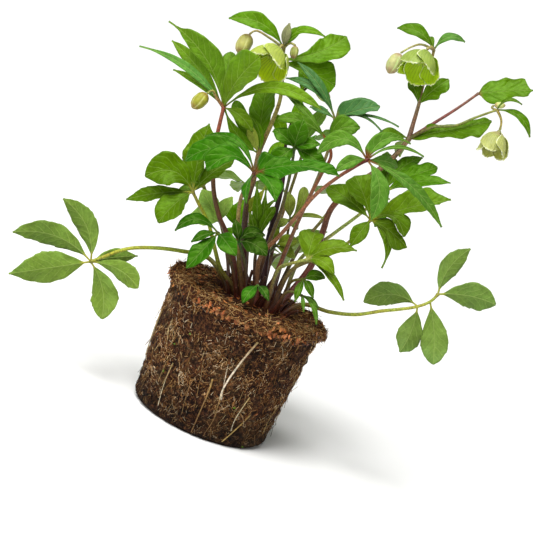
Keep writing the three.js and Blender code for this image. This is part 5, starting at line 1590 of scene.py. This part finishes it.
def scatterTree():
    # Lays bent strands over the surface where the where attribute is above zero.
    tree, given = newTree("scatteredStrands", {
        "Density": ("Float", 100000.0),
        "Seed": ("Int", 1),
        "Length": ("Float", 6 * mm),
        "Thickness": ("Float", 0.15 * mm),
        "Sides": ("Int", 3),
        "Steps": ("Int", 5),
        "Bend": ("Float", 2 * mm),
        "Bend Scale": ("Float", 150.0),
        "Tilt": ("Float", 0.35),
        "Turn": ("Float", 3.14159),
        "Sink": ("Float", 0.0),
        "Material": ("Material", None),
    })

    def anyFloat(low, high, offset):
        span = {"Min": low, "Max": high, "Seed": reckon("ADD", given["Seed"], float(offset))}
        return wire("FunctionNodeRandomValue", span, out="Value", data_type="FLOAT")

    spread = {
        "Mesh": given["Geometry"],
        "Density": times(ownValue(tree, "where"), given["Density"]),
        "Seed": given["Seed"],
    }
    spots = wire("GeometryNodeDistributePointsOnFaces", spread, distribute_method="RANDOM")
    outward = spots.node.outputs["Normal"]
    shade = {"Geometry": spots, "Name": "shade", "Value": anyFloat(0.0, 1.0, 11)}
    spots = wire("GeometryNodeStoreNamedAttribute", shade, data_type="FLOAT", domain="POINT")
    spots = moved(spots, vectorTimes(outward, given["Sink"]))

    ahead = wire("ShaderNodeCombineXYZ", {0: times(given["Length"], 0.5)})
    line = wire("GeometryNodeCurvePrimitiveLine", {"Start": vectorTimes(ahead, -1.0), "End": ahead})
    line = wire("GeometryNodeResampleCurve", {"Curve": line, "Count": given["Steps"]})
    strand = tube(line, given["Sides"], given["Thickness"])

    upright = wire("FunctionNodeAlignRotationToVector", {"Vector": outward}, axis="Z")
    toTop = {"Rotation": upright, "Vector": (0.0, 0.0, 1.0)}
    upright = wire("FunctionNodeAlignRotationToVector", toTop, axis="X", pivot_axis="Z")
    tilt = anyFloat(times(given["Tilt"], -1.0), given["Tilt"], 3)
    turn = anyFloat(times(given["Turn"], -1.0), given["Turn"], 5)
    spin = wire("FunctionNodeEulerToRotation", {"Euler": wire("ShaderNodeCombineXYZ", {1: tilt, 2: turn})})
    spun = {"Rotation": upright, "Rotate By": spin}
    turned = wire("FunctionNodeRotateRotation", spun, rotation_space="LOCAL")
    laid = {"Points": spots, "Instance": strand, "Rotation": turned, "Scale": anyFloat(0.55, 1.35, 7)}
    laid = realized(wire("GeometryNodeInstanceOnPoints", laid))

    wobble = wire("ShaderNodeTexNoise", {"Scale": given["Bend Scale"], "Detail": 1.0}, out="Color")
    bend = wire("ShaderNodeVectorMath", {0: wobble, 1: (0.5, 0.5, 0.5)}, operation="SUBTRACT")
    return endTree(painted(moved(laid, vectorTimes(bend, given["Bend"])), given["Material"]))


scatteredStrands = scatterTree()


def whereOnBall(obj, test):
    # Weights each place of the surface by test(angle in degrees, height in mm, mat share, radius in mm).
    x, y, height = (vertexPlaces(obj.data) / mm).T
    mats = np.zeros(len(x), np.float32)
    obj.data.attributes["mat"].data.foreach_get("value", mats)
    return np.clip(test(np.degrees(np.arctan2(y, x)), height, mats, np.hypot(x, y)), 0, 1)


def strands(name, source, weights, values):
    obj = source.copy()
    obj.data = source.data.copy()
    obj.name = name
    storeValues(linked(obj).data, "where", "FLOAT", weights)
    runTree(obj, scatteredStrands, values)
    obj.data.materials.clear()
    obj.data.materials.append(values["Material"])
    return smoothFaces(obj)


def keepClose(obj, lowest=0.4 * mm):
    # Nothing of the ball hangs below the floor or stands out beyond its widest part.
    places = vertexPlaces(obj.data)
    places[:, 2] = np.maximum(places[:, 2], lowest)
    radius = np.hypot(places[:, 0], places[:, 1])
    places[:, :2] *= np.minimum(1, ball["widest"] * mm / np.maximum(radius, mm))[:, None]
    obj.data.vertices.foreach_set("co", places.ravel())
    obj.data.update()
    return obj


def patchy(angle, height):
    return 0.48 + 0.85 * np.sin(angle * 0.11 + height * 0.09) * np.sin(height * 0.14 - angle * 0.05)


def tufted(angle, height):
    waves = np.sin(angle * 0.21 - height * 0.17) + np.sin(angle * 0.37 + height * 0.23 + 1.3)
    return np.clip(waves + np.sin(height * 0.31 - angle * 0.13 + 0.6) - 0.6, 0, 1)


ballBody = keepClose(ballMesh(), 0)
side = whereOnBall(ballBody, lambda a, h, m, r: (h > 4) * (h < 101) * (1 - m) * patchy(a, h))
tuftSpots = whereOnBall(ballBody, lambda a, h, m, r: (h > 5) * (h < 96) * (1 - m) * tufted(a, h))
lower = whereOnBall(ballBody, lambda a, h, m, r: (h > 10) * (h < 74) * patchy(a + 40, h))
lip = whereOnBall(ballBody, lambda a, h, m, r: (m > 0.5) * (r > 50) * 1.0)
crown = whereOnBall(ballBody, lambda a, h, m, r: (h > 103) * (r < 62) * np.clip(r / 40, 0.3, 1))
settle(ballBody, "compost", "root_ball")

# Where they lie, their colours and, with lengths in mm, what else the strands of each piece need.
strandSets = {
    "rootHairs": (side, "rootHairs", {
        "Density": 520000.0, "Length": 3.1, "Thickness": 0.12, "Steps": 3, "Tilt": 0.25, "Seed": 3,
    }),
    "longHairs": (side, "rootHairs", {
        "Density": 36000.0, "Length": 11, "Thickness": 0.1, "Turn": 1.0, "Steps": 7, "Bend": 4,
        "Bend Scale": 110.0, "Tilt": 0.1, "Seed": 17,
    }),
    "tufts": (tuftSpots, "straw", {
        "Density": 420000.0, "Length": 3.2, "Thickness": 0.14, "Steps": 3, "Turn": 1.2, "Seed": 29,
    }),
    "runners": (lower, "runners", {
        "Density": 13000.0, "Length": 22, "Thickness": 0.16, "Turn": 0.3, "Steps": 9, "Bend": 2,
        "Bend Scale": 60.0, "Tilt": 0.02, "Seed": 31,
    }),
    "strawShort": (lip, "straw", {
        "Density": 330000.0, "Length": 5.5, "Thickness": 0.13, "Tilt": 0.35, "Seed": 5,
    }),
    "strawLong": (lip, "straw", {
        "Density": 50000.0, "Length": 14, "Thickness": 0.14, "Steps": 7, "Tilt": 0.2, "Bend": 6,
        "Bend Scale": 70.0, "Seed": 8,
    }),
    "crownFibres": (crown, "straw", {
        "Density": 150000.0, "Length": 8, "Thickness": 0.17, "Tilt": 0.4, "Bend": 3, "Seed": 21,
    }),
}
for name, (weights, colours, values) in strandSets.items():
    lengths = {key: values[key] * mm for key in ("Length", "Thickness", "Bend") if key in values}
    values = {**values, **lengths, "Material": strandMaterials[colours], "Sink": 0.05 * mm}
    settle(keepClose(strands(name, ballBody, weights, values)), "compost", "root_ball")
    print(name)


def ballPlace(angle, height, lift=0.0):
    radius = ballRadius(height) + lift
    turn = math.radians(angle)
    return np.array([radius * math.cos(turn), radius * math.sin(turn), height]) * mm


# Thick roots on the side: (angle, height) down their length, radii in mm, and their colours.
thickRoots = [
    ([(-72, 91), (-77, 72), (-80, 56), (-81, 44), (-80, 37)], (0.85, 0.6), ("#8f7848", "#d6cfb8", "#c4b896")),
    ([(-80, 37), (-79, 28), (-78, 20), (-80, 6)], (0.5, 0.25), ("#8a6c3a", "#6a4e28")),
    ([(-85, 66), (-82, 50), (-79, 37)], (0.3, 0.4), ("#a89c7c", "#d8d2c0")),
    ([(-91, 50), (-90, 38), (-90, 24), (-90, 3)], (0.75, 0.35), ("#a08448", "#86683a", "#6e5228")),
    ([(-125, 46), (-126, 27), (-124, 9)], (0.4, 0.2), ("#9c8850", "#c8c0a4")),
    ([(-59, 46), (-61, 34), (-62, 24), (-61, 15)], (0.45, 0.2), ("#a08a50", "#d0c8b0")),
    ([(-51, 32), (-57, 18), (-64, 4)], (0.7, 0.35), ("#7a5e2c", "#a0884c")),
    ([(-62, 58), (-70, 54), (-79, 50)], (0.3, 0.15), ("#7a5c38", "#6a4c2e")),
    ([(-104, 40), (-107, 26), (-112, 8)], (0.35, 0.2), ("#6e5230", "#5c4024")),
    ([(-98, 58), (-104, 44), (-108, 30)], (0.3, 0.15), ("#614828", "#6e5230")),
    ([(-20, 44), (-26, 30), (-24, 14)], (0.4, 0.2), ("#7e6438", "#a0884c")),
    ([(10, 80), (17, 62), (24, 44), (28, 30)], (0.85, 0.4), ("#a08a5c", "#c8c0a0")),
    ([(60, 50), (66, 34), (64, 16)], (0.5, 0.25), ("#967c4c", "#b4a880")),
    ([(105, 84), (113, 66), (120, 52), (125, 40)], (0.9, 0.4), ("#a08a5c", "#d0c8ac")),
    ([(150, 40), (144, 26), (140, 10)], (0.5, 0.25), ("#967c4c", "#b4a880")),
    ([(195, 74), (190, 58), (185, 44), (181, 30)], (0.85, 0.4), ("#967c4c", "#c8c0a0")),
]
rootLines = [
    stalkLine([ballPlace(angle, height, 0.9) for angle, height in via], radii, colours)
    for via, radii, colours in thickRoots
]
settle(sweep("thickRoots", rootLines, rootMaterial, sides=8, unevenness=0.5 * mm), "compost", "root_ball")
print("thick roots", len(thickRoots))

chips = {
    "spots": [(-121, 102), (-112, 104), (-106, 101), (-91, 103), (-84, 101), (-74, 104), (-69, 102), (-66, 98)],
    "spotLength": (4.5, 7),  # mm
    "alongFront": 60,
    "front": (-92, 22),  # middle and spread in degrees
    "frontLength": (2.5, 5),
    "more": 300,
    "onTop": 190,
    "topReach": 60,
    "length": (2.0, 5.5),
    "bright": ["#a05c2c", "#c47c46", "#88481e", "#a46c38"],
    "dark": ["#4a2a12", "#2e180a", "#5c401c", "#3c260f"],
    "specks": [(-120, 74), (-130, 60), (-131, 36), (-67, 34), (-43, 3), (70, 60), (150, 44)],
    "speckLength": 1.9,
    "speckColour": "#5f9a14",
    "thickness": 0.6,
    "seed": 12,
}


def chipList(rng):
    # Every chip as (angle, height or None on the top, length, colour).
    bright, colours = chips["bright"], chips["bright"] + chips["dark"]
    found = [(a, h, rng.uniform(*chips["spotLength"]), rng.choice(bright)) for a, h in chips["spots"]]
    for _ in range(chips["alongFront"]):
        turn, height = rng.gauss(*chips["front"]), rng.uniform(98.5, 103)
        found.append((turn, height, rng.uniform(*chips["frontLength"]), rng.choice(bright)))
    for i in range(chips["more"]):
        height = rng.uniform(97, 107) if i % 8 else rng.uniform(20, 92)
        length = rng.uniform(*chips["length"]) * (1 if height > 95 else 0.5)
        found.append((rng.uniform(-180, 180), height, length, rng.choice(colours)))
    for _ in range(chips["onTop"]):
        found.append((rng.uniform(-180, 180), None, rng.uniform(*chips["length"]), rng.choice(colours)))
    return found + [(a, h, chips["speckLength"], chips["speckColour"]) for a, h in chips["specks"]]


def barkChips():
    rng = random.Random(chips["seed"])
    points, faces, tints = [], [], []
    for angle, height, length, code in chipList(rng):
        if height is None:
            turn, radius = math.radians(angle), chips["topReach"] * math.sqrt(rng.random())
            centre = Vector((radius * math.cos(turn), radius * math.sin(turn), ballHeight + 0.6)) * mm
            outward = Vector((rng.uniform(-0.4, 0.4), rng.uniform(-0.4, 0.4), 1)).normalized()
        else:
            centre = Vector(ballPlace(angle, height, 1.0))
            outward = Vector((centre.x, centre.y, 0)).normalized() + Vector((0, 0, rng.uniform(-0.3, 0.5)))
        spin = Matrix.Rotation(rng.uniform(0, roughTurn), 3, "Z")
        laid = outward.normalized().to_track_quat("Z", "Y").to_matrix() @ spin
        corners = rng.choice([5, 6, 7])
        rim = []
        for i in range(corners):
            turn = 2 * math.pi * i / corners + rng.uniform(-0.3, 0.3)
            reach = length / 2 * rng.uniform(0.75, 1.1)
            rim.append((reach * math.cos(turn), 0.5 * reach * math.sin(turn), 0.35 * math.cos(turn * 2)))
        shade = rng.uniform(0.6, 1.2)
        upper = [len(points) + i for i in range(corners)]
        for lift in (chips["thickness"] / 2, -chips["thickness"] / 2):
            for x, y, z in rim:
                points.append(centre + laid @ Vector((x, y, z + lift * rng.uniform(0.6, 1.2))) * mm)
                tints.append(tone(code) * np.array([shade, shade, shade, 1]))
        faces += [upper, [i + corners for i in reversed(upper)]]
        faces += [(i, i + corners, j + corners, j) for i, j in zip(upper, upper[1:] + upper[:1])]
    return meshObject("barkChips", points, faces, [chipMaterial], tint=tints)


settle(keepClose(barkChips()), "compost", "root_ball")

# Dead stalk stubs and bud scales among the living stalks, in mm: foot x, y, height, lean x, y.
stubs = [
    (-2, -10, 16, -3, -4), (10, -14, 20, 4, -5), (17, -3, 15, 6, -1), (-9, -4, 22, -4, -3),
    (5, 6, 18, 1, 5), (-16, -16, 12, -6, -5), (20, -20, 13, 6, -6), (0, 14, 20, -2, 5),
    (28, 4, 14, 7, 2), (-24, 2, 12, -6, 2), (7, -22, 14, 1, -6), (14, 14, 16, 4, 5),
    (3, -4, 24, 2, 1), (-5, 3, 23, -2, 2), (12, -6, 21, 3, 0), (23, -8, 17, 6, -3),
    (-14, 6, 17, -5, 3), (9, 22, 18, 2, 6), (-10, -20, 11, -3, -5), (32, -10, 11, 7, -2),
]
stubLook = {"radii": (1.9, 1.0), "colours": ("#300d0a", "#4a2c1a"), "unevenness": 1.2 * mm}
stubLines = []
for x, y, height, leanX, leanY in stubs:
    foot = np.array([x, y, ballHeight - 3.0])
    path = foot, foot + (leanX * 0.35, leanY * 0.35, height * 0.55), foot + (leanX, leanY, height)
    stubLines.append(stalkLine(np.array(path) * mm, stubLook["radii"], stubLook["colours"]))
deadStubs = sweep("deadStubs", stubLines, stemMaterial, sides=9, unevenness=stubLook["unevenness"])
settle(deadStubs, "compost", "root_ball")
print("root ball dressed")


# Floor, light and camera

studio = {
    "floor": "#f0f0ee",
    "floorSides": 96,
    "world": 0.24,  # strength, as of the sun
    "sun": 3.3,
    "sunAngle": 34,  # degrees across
    "key": 24.0,  # watts
    "fill": 1.5,
    "target": (0, 0, 0.18),  # of both area lamps
}
# Radius and height in metres. The floor curves up far round the plant, so that it has no edge in view.
floorOutline = [(0.3, 0), (1.0, 0), (3.0, 0), (8.0, 0), (14.0, 0), (17.0, 0.6), (18.5, 2.5)]


def makeFloor():
    sides = studio["floorSides"]
    angle = np.linspace(0, 2 * math.pi, sides, endpoint=False)
    rings = [np.stack([r * np.cos(angle), r * np.sin(angle), np.full(sides, h)], -1) for r, h in floorOutline]
    pairs = [(1 + i, 1 + (i + 1) % sides) for i in range(sides)]
    faces = [(0, i, j) for i, j in pairs]
    for low in range(0, sides * (len(rings) - 1), sides):
        faces += [(low + i, low + sides + i, low + sides + j, low + j) for i, j in pairs]
    material, tree = newMaterial("floor")
    shade = ramp(grain(objectPlace(tree), 3.0, 2.0), 0.3, 0.7, 0.99, 1.0)
    dressed(material, {
        "Base Color": shaded(tone(studio["floor"]), shade), "Roughness": 0.9, "Specular IOR Level": 0.1,
    })
    smoothFaces(meshObject("floor", np.concatenate([[[0, 0, 0]], *rings]), faces, [material]))


makeFloor()


def lamp(name, kind, **settings):
    data = bpy.data.lights.new(name, kind)
    data.energy = studio[name]
    for key, value in settings.items():
        setattr(data, key, value)
    return linked(bpy.data.objects.new(name, data))


def areaLamp(name, spot, size):
    obj = lamp(name, "AREA", shape="SQUARE", size=size)
    obj.location = spot
    obj.rotation_euler = (Vector(studio["target"]) - Vector(spot)).to_track_quat("-Z", "Y").to_euler()


areaLamp("key", (-0.9, -1.3, 1.5), 1.0)
areaLamp("fill", (1.4, -1.0, 0.7), 1.2)
sun = lamp("sun", "SUN", angle=math.radians(studio["sunAngle"]))
sun.rotation_euler = (math.radians(14), math.radians(-12), 0)

world = bpy.data.worlds.new("studio")
world.use_nodes = True
fill(world.node_tree.nodes["Background"], {"Color": (1, 1, 1, 1), "Strength": studio["world"]})
scene = bpy.context.scene
scene.world = world
scene.view_settings.view_transform = "Standard"

cameraData = bpy.data.cameras.new("camera")
cameraData.sensor_fit = "HORIZONTAL"
cameraData.angle = 2 * math.atan(sheet["viewWidth"] / 2 / sheet["eye"])
cameraData.clip_start = 0.05
camera = linked(bpy.data.objects.new("camera", cameraData))
turn = Matrix([acrossAxis, upwardAxis, sheetFront]).transposed().to_4x4()
spot = heading((*sheet["middle"], sheet["eye"])) + ballTop
camera.matrix_world = Matrix.Translation(Vector(spot * mm)) @ turn
scene.camera = camera
print("stage and camera")
